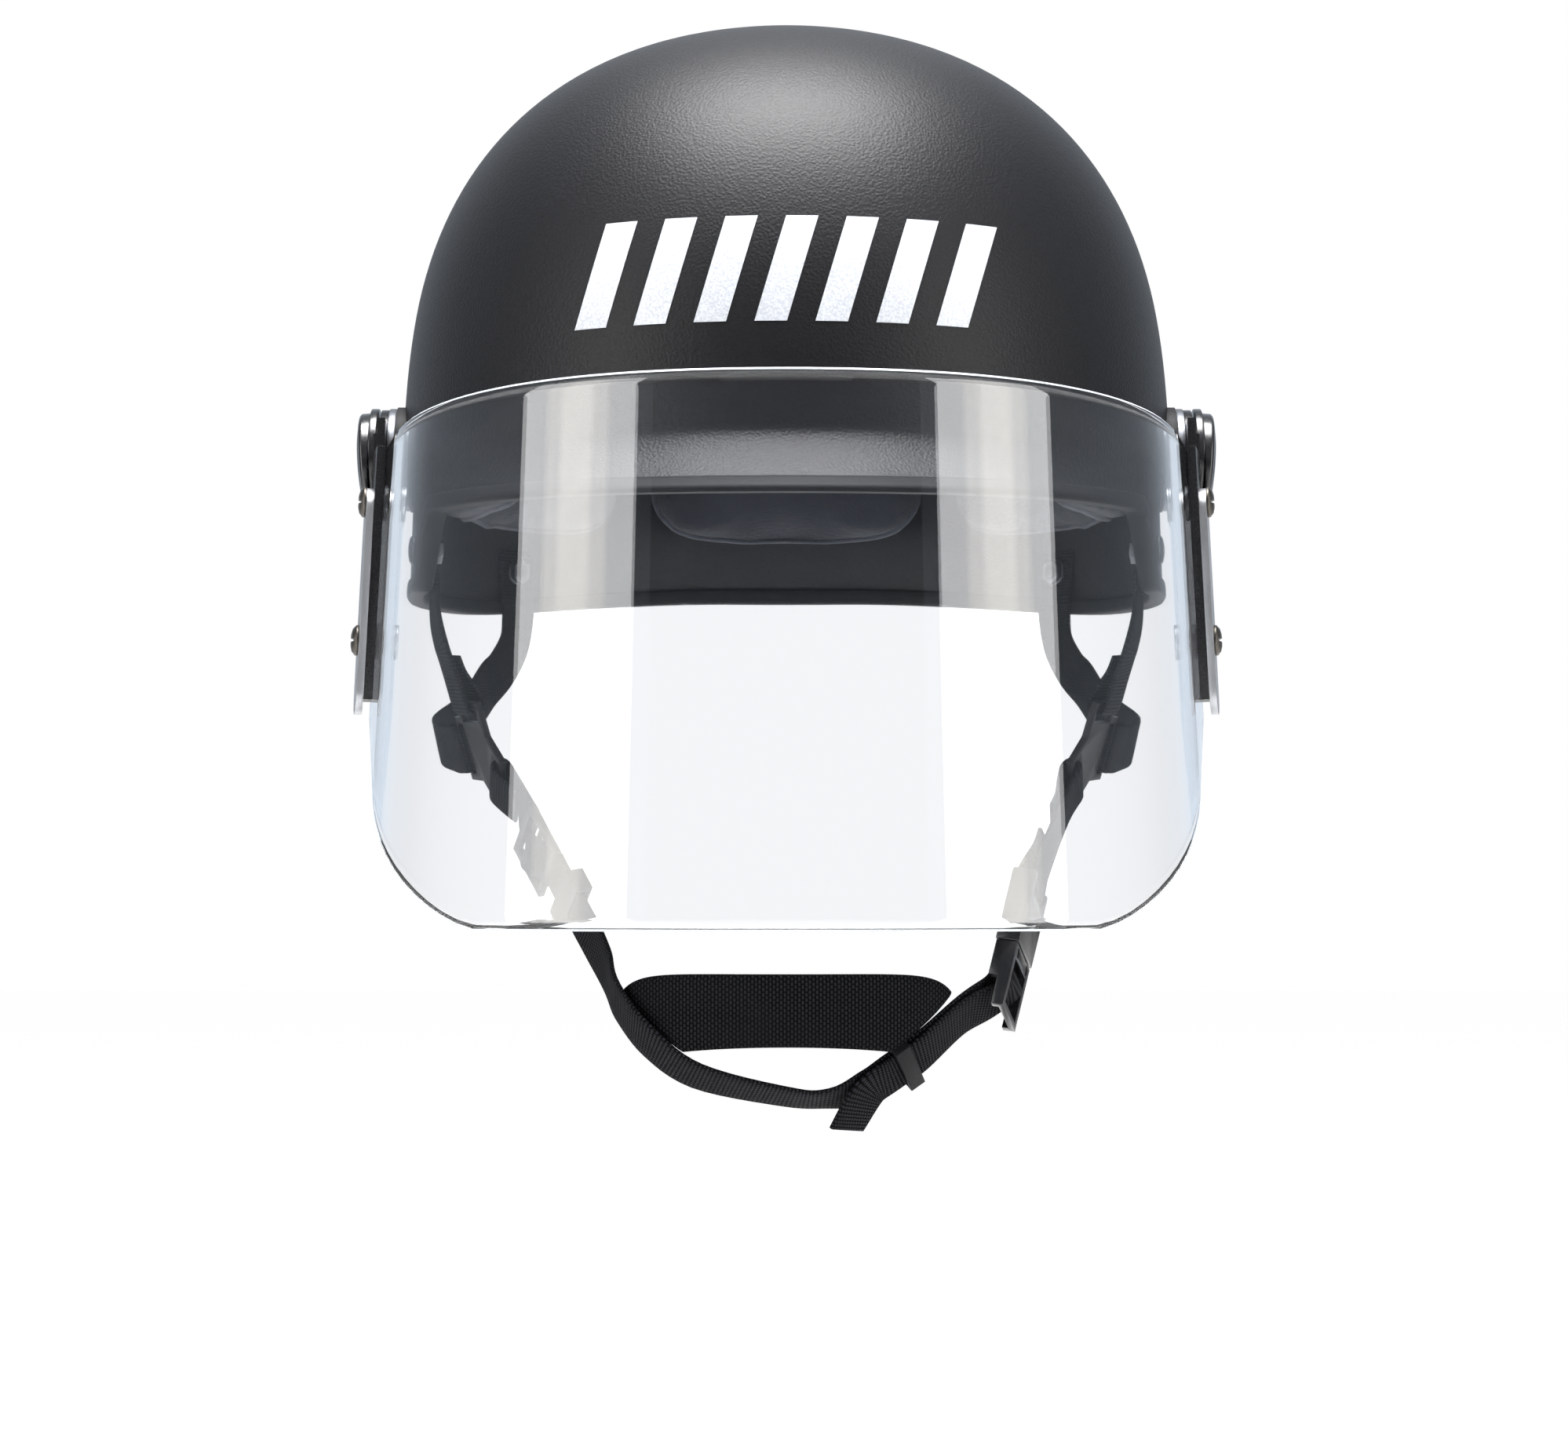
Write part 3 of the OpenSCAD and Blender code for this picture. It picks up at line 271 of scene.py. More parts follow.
class Effects:
    """The shared node groups of this object's finishes."""

    def __init__(self) -> None:
        """Builds each group once."""
        self.peel = self._peel()
        self.wear = self._wear()
        self.weave = self._weave()
        self.brushed = self._brushed()
        self.nap = self._nap()

    @staticmethod
    def use(graph: Graph, tree: Tree, **values: object) -> Node:
        """Places a group in a material.

        Args:
            graph: Graph of the material.
            tree: The group.
            **values: Inputs by name.

        Returns:
            The group's node.
        """
        node = graph.tree.nodes.new("ShaderNodeGroup")
        node.node_tree = tree
        for key, value in values.items():
            graph.feed(node.inputs[key], value)
        return node

    @staticmethod
    def _peel() -> Tree:
        """Pebbled skin of a moulded or textured-painted surface."""
        group = Group("moulded_peel", ["Pitch"], ["Height", "Speck"])
        g = group.graph
        size = g.math("DIVIDE", 1.0, group.source("Pitch"))
        cells = g.add(
            "TexVoronoi", feature="SMOOTH_F1", in_Vector=group.source(), in_Scale=size, in_Smoothness=0.6
        )
        pebble = g.ramp(cells.outputs["Distance"], 0.1, 0.75, (1.0, 0.0))
        fine = g.noise(group.source(), g.scaled(size, 1.9), 3.0)
        height = g.scaled(pebble, 0.55, g.scaled(fine, 0.45))
        # The second output masks the pebble tops for a painted highlight.
        return group.give(Height=height, Speck=g.ramp(fine, 0.35, 0.68))

    @staticmethod
    def _wear() -> Tree:
        """Faint handling marks: dust in large patches and fine rubbed streaks."""
        group = Group("handling_wear", ["Amount"], ["Dust", "Rub"])
        g = group.graph
        cloud = g.noise(group.source(), 22.0, 5.0, 0.6)
        streak = g.noise(g.mapped(group.source(), in_Scale=(1.0, 1.0, 6.0)), 160.0, 4.0, 0.7)
        dust = g.scaled(g.ramp(cloud, 0.42, 0.75), group.source("Amount"))
        return group.give(Dust=dust, Rub=g.scaled(g.ramp(streak, 0.55, 0.78), group.source("Amount")))

    @staticmethod
    def _weave() -> Tree:
        """Ribbed webbing on coordinates in metres: X across the strap and Y along it."""
        group = Group("ribbed_webbing", ["Rib", "Pick"], ["Height", "Thread"])
        g = group.graph
        split = g.add("SeparateXYZ", in_Vector=group.source())
        across = g.math("DIVIDE", split.outputs[0], group.source("Rib"))
        along = g.math("DIVIDE", split.outputs[1], group.source("Pick"))
        turn = g.scaled(g.math("FLOOR", across), 0.5)
        pick = g.humps(g.math("ADD", along, turn))
        bead = g.scaled(g.math("POWER", g.humps(across), 0.6), g.scaled(pick, 0.6, 0.4))
        fray = g.noise(group.source(), 5200.0, 2.0, 0.6)
        height = g.scaled(fray, 0.25, bead)
        # The second output masks the thread tops for a painted highlight, with painted shade in the furrows.
        return group.give(Height=height, Thread=g.ramp(height, 0.5, 1.05))

    @staticmethod
    def _brushed() -> Tree:
        """Long fine scratches along Z with a slow change of tone."""
        group = Group("brushed_metal", [], ["Height", "Tone"])
        g = group.graph
        fine = g.noise(g.mapped(group.source(), in_Scale=(1.0, 1.0, 0.05)), 2600.0, 4.0, 0.7)
        slow = g.noise(group.source(), 60.0, 3.0, 0.5)
        return group.give(Height=fine, Tone=g.scaled(fine, 0.5, g.scaled(slow, 0.5)))

    @staticmethod
    def _nap() -> Tree:
        """Brushed loop pile with a soft mottle."""
        group = Group("loop_nap", [], ["Height", "Mottle"])
        g = group.graph
        loops = g.add("TexVoronoi", feature="F1", in_Vector=group.source(), in_Scale=900.0)
        fuzz = g.noise(group.source(), 1800.0, 4.0, 0.75)
        mottle = g.noise(group.source(), 90.0, 4.0, 0.6)
        return group.give(Height=g.scaled(loops.outputs["Distance"], 0.6, fuzz), Mottle=mottle)


# Finishes


def new_material(name: str, colour: Colour, rough: float, gloss: float) -> tuple[Material, Graph, Node]:
    """Starts a material with one Principled BSDF.

    Args:
        name: Name of the material.
        colour: Linear base colour.
        rough: Roughness.
        gloss: Specular level.

    Returns:
        The material, its graph and its shader.
    """
    material = bpy.data.materials.new(name)
    material.use_nodes = True
    shader = material.node_tree.nodes["Principled BSDF"]
    shader.inputs["Base Color"].default_value = (*colour, 1.0)
    shader.inputs["Roughness"].default_value = rough
    shader.inputs["Specular IOR Level"].default_value = gloss
    return material, Graph(material.node_tree), shader


@dataclass(frozen=True)
class Finish:
    """Base of every finish: a named material with one Principled BSDF.

    Attributes:
        name: Name of the material.
        colour: Linear base colour.
        rough: Base roughness.
        gloss: Specular level; 0.5 is that of plain plastic.
    """

    name: str
    colour: Colour
    rough: float
    gloss: float = 0.5

    def make(self, effects: Effects) -> Material:
        """Builds the material, or returns the one that is there.

        Args:
            effects: The shared node groups.

        Returns:
            The material.
        """
        ready = bpy.data.materials.get(self.name)
        if ready:
            return ready
        material, graph, shader = new_material(self.name, self.colour, self.rough, self.gloss)
        self.dress(graph, shader, effects)
        return material

    def dress(self, graph: Graph, shader: Node, effects: Effects) -> None:
        """Adds what this finish shows; each finish has its own.

        Args:
            graph: Graph of the material.
            shader: Its Principled BSDF.
            effects: The shared node groups.
        """
        raise NotImplementedError

    def paint(
        self, graph: Graph, shader: Node, masks: Sequence[Socket], shades: Sequence[float], rough: Socket,
        height: Socket, depth: float,
    ) -> None:
        """Feeds the colour, roughness and normal.

        Args:
            graph: Graph of the material.
            shader: Its Principled BSDF.
            masks: Shares of the second and later shades, each laid over what is there.
            shades: Factors of the finish's colour.
            rough: Roughness.
            height: Height from 0 to 1 of the skin.
            depth: Metres that a height of 1 stands for.
        """
        base, *others = [(*[min(1.0, c * factor) for c in self.colour], 1.0) for factor in shades]
        for mask, tone in zip(masks, others):
            base = graph.mix(mask, base, tone)
        graph.feed(shader.inputs["Base Color"], base)
        graph.feed(shader.inputs["Roughness"], rough)
        node = graph.add("Bump", in_Strength=1.0, in_Distance=depth, in_Height=height)
        graph.feed(shader.inputs["Normal"], node.outputs[0])


@dataclass(frozen=True)
class Moulded(Finish):
    """Plastic, rubber or coated metal with a pebbled skin.

    Attributes:
        pitch: Size of a pebble in metres.
        depth: Height of a pebble in metres.
        dust: Strength of the dust and rub marks.
        speck: How much lighter the tops of the pebbles are painted, as a painted highlight.
    """

    pitch: float = 0.0012
    depth: float = 0.00006
    dust: float = 0.3
    # Painted highlight: how much lighter the pebble tops are painted.
    speck: float = 1.5

    # The first factor is painted shade in the furrows between the pebbles.
    FURROW, DUSTY, RUBBED, POLISHED = 0.8, 1.9, 0.12, -0.05

    def dress(self, graph: Graph, shader: Node, effects: Effects) -> None:
        """Pebbles in the bump, painted highlight on their tops and painted shade in their furrows, dust in
        the colour and gloss.
        """
        coords = graph.coords()
        peel = effects.use(graph, effects.peel, Coords=coords, Pitch=self.pitch)
        wear = effects.use(graph, effects.wear, Coords=coords, Amount=self.dust)
        # Painted highlight on the pebble tops and painted shade in the furrows, then dust.
        masks, shades = (peel.outputs["Speck"], wear.outputs["Dust"]), (self.FURROW, self.speck, self.DUSTY)
        rough = graph.scaled(wear.outputs["Rub"], self.RUBBED, self.rough)
        rough = graph.scaled(masks[0], self.POLISHED, rough)
        self.paint(graph, shader, masks, shades, rough, peel.outputs["Height"], self.depth)


@dataclass(frozen=True)
class Webbing(Finish):
    """Woven nylon, patterned by the piece's own UV map in metres.

    Attributes:
        rib: Width of a rib in metres.
        pick: Length of a stitch of the weave in metres.
        crossed: Whether the ribs run across the strap instead of along it.
    """

    rib: float = 0.00125
    pick: float = 0.0011
    crossed: bool = False

    # Painted shade in the furrows, painted highlight on the thread tops, then dust.
    SHADES = (0.08, 3.2, 1.8)
    WORN, GLEAM, DEPTH = 0.5, -0.2, 0.00022

    def dress(self, graph: Graph, shader: Node, effects: Effects) -> None:
        """Ribs in the bump; in the colour, painted shade in the furrows and painted highlight on the thread
        tops; duller in the furrows.
        """
        coords = graph.coords("UV")
        if self.crossed:
            coords = graph.mapped(coords, in_Rotation=(0.0, 0.0, math.pi / 2))
        weave = effects.use(graph, effects.weave, Coords=coords, Rib=self.rib, Pick=self.pick)
        wear = effects.use(graph, effects.wear, Coords=graph.coords(), Amount=self.WORN)
        # Painted highlight on the thread tops and painted shade in the furrows, then dust.
        masks = (weave.outputs["Thread"], wear.outputs["Dust"])
        rough = graph.scaled(masks[0], self.GLEAM, self.rough)
        self.paint(graph, shader, masks, self.SHADES, rough, weave.outputs["Height"], self.DEPTH)


@dataclass(frozen=True)
class LoopFabric(Finish):
    """Brushed loop fabric of the liner pads and the hook tape."""

    SHADES = (0.6, 1.5)
    DULL, DEPTH, SHEEN, SHEEN_ROUGH = 0.1, 0.0003, 0.12, 0.5

    def dress(self, graph: Graph, shader: Node, effects: Effects) -> None:
        """Pile in the bump, mottled colour and a soft sheen."""
        nap = effects.use(graph, effects.nap, Coords=graph.coords())
        mottle = nap.outputs["Mottle"]
        rough = graph.scaled(mottle, self.DULL, self.rough)
        self.paint(graph, shader, [mottle], self.SHADES, rough, nap.outputs["Height"], self.DEPTH)
        shader.inputs["Sheen Weight"].default_value = self.SHEEN
        shader.inputs["Sheen Roughness"].default_value = self.SHEEN_ROUGH


@dataclass(frozen=True)
class Metal(Finish):
    """Plated or brushed metal."""

    SHADES = (0.8, 1.12, 0.7)
    WORN, RUBBED, DEPTH = 0.6, 0.2, 0.000012

    def dress(self, graph: Graph, shader: Node, effects: Effects) -> None:
        """Scratches in the bump and gloss, a slow change of tone."""
        coords = graph.coords()
        brushed = effects.use(graph, effects.brushed, Coords=coords)
        wear = effects.use(graph, effects.wear, Coords=coords, Amount=self.WORN)
        masks = (brushed.outputs["Tone"], wear.outputs["Dust"])
        rough = graph.scaled(wear.outputs["Rub"], self.RUBBED, self.rough)
        self.paint(graph, shader, masks, self.SHADES, rough, brushed.outputs["Height"], self.DEPTH)
        shader.inputs["Metallic"].default_value = 1.0


@dataclass(frozen=True)
class ClearSheet(Finish):
    """Clear hard-coated polycarbonate."""

    INDEX, WORN, SHADE_LOSS = 1.5, 0.03, 0.93

    def dress(self, graph: Graph, shader: Node, effects: Effects) -> None:
        """Clear body; light passes through it to what is behind."""
        shader.inputs["Transmission Weight"].default_value = 1.0
        shader.inputs["IOR"].default_value = self.INDEX
        wear = effects.use(graph, effects.wear, Coords=graph.coords(), Amount=self.WORN)
        graph.feed(shader.inputs["Roughness"], graph.math("ADD", wear.outputs["Rub"], self.rough))
        shadow = graph.add("LightPath").outputs["Is Shadow Ray"]
        graph.feed(shader.inputs["Alpha"], graph.rest(graph.scaled(shadow, self.SHADE_LOSS)))


class Shelf:
    """All the finishes of the helmet, by the part of the object that wears them."""

    # Moulded: name, colour, roughness, gloss, pitch, depth, dust and painted highlight of the pebble tops
    FINISHES: dict[str, Finish] = {
        "shell": Moulded("textured_shell", (0.0034, 0.0035, 0.0042), 0.5, 0.15, 0.0009, 0.0001, 0.2, 1.6),
        "rubber": Moulded("edge_rubber", (0.0045, 0.0046, 0.0053), 0.6, 0.08, 0.0006, 0.00002, 0.4, 1.2),
        "gasket": Moulded("gasket_rubber", (0.007, 0.007, 0.008), 0.6, 0.15, 0.0008, 0.00003, 0.4, 1.2),
        "acetal": Moulded("black_acetal", BLACK, 0.42, 0.1, 0.0007, 0.000012, 0.35, 1.15),
        "gloss": Moulded("glossy_black", (0.009, 0.0093, 0.0105), 0.27, 0.42, 0.0012, 0.000003, 0.08, 1.05),
        "buckle": Moulded("buckle_black", BLACK, 0.26, 0.28, 0.0009, 0.000006, 0.12, 1.1),
        "coated": Moulded("coated_arm", BLACK, 0.3, 0.22, 0.0008, 0.00002, 0.35, 1.2),
        "nylon": Moulded("natural_nylon", (0.62, 0.59, 0.5), 0.5, 0.5, 0.001, 0.00001, 0.2, 1.05),
        # Opaque pale finish of the clear sheet's edge faces: a painted highlight along its edges.
        "sheet_edge_painted_highlight": Moulded("sheet_edge_painted_highlight", (0.36, 0.385, 0.41), 0.35, 0.5, 0.0009, 0.000006, 0.2, 1.05),
        "marking": Moulded("white_marking", (0.36, 0.375, 0.405), 0.5, 0.5, 0.0013, 0.00008, 0.1, 1.05),
        # Both webbing colours are darker than the black nylon alone: painted shade for the shadow that a head
        # casts on the straps under the chin.
        "webbing": Webbing("black_webbing", (0.0033, 0.0035, 0.0041), 0.8, 0.03, rib=0.00118, crossed=True),
        "chin": Webbing("chin_webbing", (0.0024, 0.0025, 0.0028), 0.8, 0.03, rib=0.0012, pick=0.0015),
        "pad": LoopFabric("pad_loop", (0.012, 0.0135, 0.018), 0.9, 0.1),
        "piping": LoopFabric("pad_piping", (0.03, 0.033, 0.042), 0.8, 0.1),
        "hook": LoopFabric("hook_tape", (0.009, 0.009, 0.011), 0.85, 0.1),
        "dark_metal": Metal("dark_plate", (0.12, 0.124, 0.135), 0.42),
        "bright_metal": Metal("bright_plate", (0.3, 0.305, 0.32), 0.42),
        "zinc": Metal("zinc_plate", (0.36, 0.37, 0.39), 0.42),
        "bronze": Metal("dark_bronze", (0.075, 0.068, 0.06), 0.4),
        "black_metal": Metal("black_oxide", (0.05, 0.05, 0.055), 0.4),
        "clear": ClearSheet("clear_sheet", (0.97, 0.98, 1.0), 0.015),
    }

    def __init__(self) -> None:
        """Builds the shared groups."""
        self.effects = Effects()

    def material(self, finish: str) -> Material:
        """Material of a finish by its name here."""
        return self.FINISHES[finish].make(self.effects)


# Mesh tools


def unit(v: Vector) -> Vector:
    """Vector of length one along v."""
    return v.normalized()


def flip(p: Vector) -> Vector:
    """Mirror image across the centre plane."""
    return Vector((-p.x, p.y, p.z))


def clamped(t: float) -> float:
    """Value held between 0 and 1."""
    return min(1.0, max(0.0, t))


def smooth_step(t: float) -> float:
    """Smooth step from 0 to 1."""
    c = clamped(t)
    return c * c * (3 - 2 * c)


def mixed(a: float, b: float, t: float) -> float:
    """Value between a and b at share t."""
    return a + (b - a) * t


def sine_cosine(degrees: float) -> tuple[float, float]:
    """Sine and cosine of an angle."""
    return math.sin(math.radians(degrees)), math.cos(math.radians(degrees))


def row_at(rows: Sequence[tuple[float, ...]], v: float) -> tuple[float, ...]:
    """Row at a share of the way through the rows."""
    return rows[round(v * (len(rows) - 1))]


def poured(bm: Mesh, name: str) -> bpy.types.Mesh:
    """Mesh data with the shape of a bmesh, which is freed."""
    mesh = bpy.data.meshes.new(name)
    bm.to_mesh(mesh)
    bm.free()
    return mesh


def placed(name: str, data: bpy.types.ID) -> Piece:
    """New object in the scene that shows this data."""
    thing = bpy.data.objects.new(name, data)
    bpy.context.scene.collection.objects.link(thing)
    return thing


class Maker:
    """Makes, dresses and reports pieces."""

    CREASE, FLAT, SHADED = 28.0, 0.4, 32.0
    BEVEL_SEGMENTS, BEVEL_WELD = 2, 2e-7

    def __init__(self, shelf: Shelf) -> None:
        """Keeps the finishes of the object."""
        self.shelf = shelf

    def keep(
        self,
        bm: Mesh,
        name: str,
        finish: str,
        body: Body,
        smooth: float,
        replaces: Sequence[str] = (),
        slot: str | None = None,
    ) -> Piece:
        """Turns a bmesh into a finished piece.

        Args:
            bm: The mesh, which is freed.
            name: Name of the piece.
            finish: Name of its finish.
            body: CAD body that it rides on.
            smooth: Angle in degrees above which an edge stays sharp.
            replaces: CAD nodes that it stands for.
            slot: Not used.

        Returns:
            The object.
        """
        mesh = poured(bm, name)
        mesh.polygons.foreach_set("use_smooth", [True] * len(mesh.polygons))
        mesh.set_sharp_from_angle(angle=math.radians(smooth))
        mesh.materials.append(self.shelf.material(finish))
        piece = placed(name, mesh)
        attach(piece, body.value)
        if replaces:
            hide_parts(*replaces)
        LOG.info("%s: %d faces, %s", name, len(mesh.polygons), finish)
        return piece

    def refined(self, node: str, finish: str, bevel: float, body: Body = Body.HELMET) -> Piece:
        """Stands a copy of a CAD node with softened edges in its place.

        Args:
            node: Name of the CAD node.
            finish: Name of the finish.
            bevel: Width of the softened edges in millimetres.
            body: CAD body that it rides on.

        Returns:
            The piece.
        """
        bm = bmesh.new()
        bm.from_mesh(frame["nodes"][node].data)
        bmesh.ops.remove_doubles(bm, verts=bm.verts, dist=WELD)
        bmesh.ops.dissolve_limit(bm, angle_limit=math.radians(self.FLAT), verts=bm.verts, edges=bm.edges)
        pairs = [e for e in bm.edges if len(e.link_faces) == 2]
        sharp = [e for e in pairs if e.calc_face_angle(0.0) > math.radians(self.CREASE)]
        bmesh.ops.bevel(
            bm, geom=sharp, offset=bevel * MM, offset_type="OFFSET", segments=self.BEVEL_SEGMENTS,
            profile=0.5, affect="EDGES", clamp_overlap=True, material=-1,
        )
        bmesh.ops.remove_doubles(bm, verts=bm.verts, dist=self.BEVEL_WELD)
        return self.keep(bm, node + "_piece", finish, body, self.SHADED, [node])

    def dress_node(self, node: str, finish: str) -> None:
        """Gives a CAD node that stays its material.

        Args:
            node: Name of the CAD node.
            finish: Name of the finish.
        """
        mesh = frame["nodes"][node].data
        mesh.materials.clear()
        mesh.materials.append(self.shelf.material(finish))
        LOG.info("%s: CAD node, %s", node, finish)

    @staticmethod
    def unwrap(bm: Mesh, lay: Callable[[Vector, Vector], tuple[float, float]]) -> None:
        """Fills the UV map.

        Args:
            bm: The mesh.
            lay: Gives the UV of a corner from its place and its present UV.
        """
        layer = bm.loops.layers.uv.verify()
        for face in bm.faces:
            for loop in face.loops:
                loop[layer].uv = lay(loop.vert.co, loop[layer].uv)

    @classmethod
    def grid(cls, columns: int, rows: int, place: Place) -> Mesh:
        """Lays a grid over a surface, with a UV map from 0 to 1.

        Args:
            columns: Faces along u.
            rows: Faces along v.
            place: Point in millimetres for u and v from 0 to 1.

        Returns:
            The bmesh, with its seams welded.
        """
        bm = bmesh.new()
        bmesh.ops.create_grid(bm, x_segments=columns, y_segments=rows, size=0.5, calc_uvs=False)
        bm.loops.layers.uv.new("UVMap")
        cls.unwrap(bm, lambda co, _: (co.x + 0.5, co.y + 0.5))
        for vert in bm.verts:
            vert.co = place(round(vert.co.x + 0.5, 6), round(vert.co.y + 0.5, 6)) * MM
        bmesh.ops.remove_doubles(bm, verts=bm.verts, dist=WELD)
        bmesh.ops.recalc_face_normals(bm, faces=bm.faces)
        return bm

    @staticmethod
    def close(bm: Mesh) -> None:
        """Fills the open ends of a tube and turns its faces outwards."""
        bmesh.ops.holes_fill(bm, edges=[e for e in bm.edges if e.is_boundary], sides=0)
        bmesh.ops.recalc_face_normals(bm, faces=bm.faces)


# Shell


@dataclass
class ShellForm:
    """The moulded shell's surface, with the same sizes in millimetres and degrees as the CAD part."""

    half_w: float = 120.0
    front_len: float = 148.0
    back_len: float = 112.0
    top: float = 178.8
    dome_z: float = 49.6
    widest_y: float = 20.0
    wall: float = 4.0
    dome_n: float = 2.44
    dome_m: float = 2.316
    swell_z: float = 90.0
    swell_run: float = 40.0
    batter: float = 0.02
    brim_out: float = 17.0
    brim_z: float = 20.4
    brim_side: float = 64.0
    brim_fade: float = 42.0
    brim_curl: float = 1.35
    brim_rise: float = 3.3
    brim_span: float = 58.0
    fold_z: float = 39.0
    ear_z: float = 1.0
    ear_front: float = 61.0
    ear_fade: float = 9.0
    nape_z: float = 9.0
    nape_side: float = 112.0
    nape_fade: float = 60.0
    flare_out: float = 7.0
    flare_side: float = 118.0
    flare_fade: float = 55.0
    flare_z: float = 36.0
    flare_run: float = 32.0
    flare_curl: float = 1.2
    degree_len: float = 2.2

    def flare(self, phi: float, z: float) -> float:
        """How far the brim and the nape stand out at an angle in degrees and a height."""
        side = min(phi % 360, 360 - phi % 360)
        fold = clamped((self.fold_z - z) / (self.fold_z - self.brim_z))
        brim = self.brim_out * smooth_step((self.brim_side - side) / self.brim_fade) * fold**self.brim_curl
        drop = smooth_step((self.flare_z - z) / self.flare_run) ** self.flare_curl
        return brim + self.flare_out * smooth_step((side - self.flare_side) / self.flare_fade) * drop

    def spread(self, z: float) -> float:
        """How far the sides stand out below the dome."""
        return clamped((self.swell_z - z) / self.swell_run) ** 2 + self.batter * max(0.0, self.dome_z - z)

    def plan(self, phi: float, r: float, z: float, off: float) -> Vector:
        """Point of the shell's plan at one height.

        Args:
            phi: Angle in degrees, from 0 in front over 90 on the wearer's left.
            r: Share of the radius.
            z: Height.
            off: Depth below the skin.

        Returns:
            The point.
        """
        s, c = sine_cosine(phi)
        length = self.front_len if c > 0 else self.back_len
        flare = self.flare(phi, z)
        x = ((self.half_w - off) * r + self.spread(z) + flare) * s
        return Vector((x, self.widest_y - ((length - off) * r + flare) * c, z))

    def dome(self, phi: float, a: float, off: float) -> Vector:
        """Point of the dome at a degrees from the top, and off below the skin."""
        s, c = sine_cosine(a)
        z = self.dome_z + (self.top - off - self.dome_z) * max(0.0, c) ** (2 / self.dome_n)
        return self.plan(phi, max(0.0, s) ** (2 / self.dome_m), z, off)

    def skin(self, phi: float, q: float, off: float) -> Vector:
        """Point at dome angle q up to 90, and q - 90 millimetres below the dome after that."""
        return self.dome(phi, q, off) if q <= 90 else self.plan(phi, 1.0, self.dome_z - (q - 90), off)

    def rim(self, phi: float) -> float:
        """Height of the rim, which rises from the brim, drops to the ears and rises to the nape."""
        s = min(phi % 360, 360 - phi % 360)
        brim = self.brim_z + self.brim_rise * min(1.0, s / self.brim_span) ** 2
        ear = (self.ear_z - self.brim_z - self.brim_rise) * smooth_step((s - self.ear_front) / self.ear_fade)
        return brim + ear + (self.nape_z - self.ear_z) * smooth_step((s - self.nape_side) / self.nape_fade)

    def rise(self, phi: float, height: float) -> float:
        """Height along Z of a band that is this high square to the rim."""
        slope = (self.rim(phi + 1) - self.rim(phi - 1)) / (2 * self.degree_len)
        return height * math.sqrt(1 + slope**2)


def even_phi(u: float) -> float:
    """Angle round the shell, with more columns where the rim drops to the ear flaps.

    Args:
        u: Share of the way round.

    Returns:
        The angle in degrees.
    """
    t = u * 2 if u <= 0.5 else 2 - u * 2
    knots = [(0.0, 0.0), (0.3, 58.0), (0.5, 74.0), (1.0, 180.0)]
    for (t0, p0), (t1, p1) in zip(knots, knots[1:]):
        if t <= t1:
            phi = mixed(p0, p1, (t - t0) / (t1 - t0))
            break
    return phi if u <= 0.5 else 360 - phi


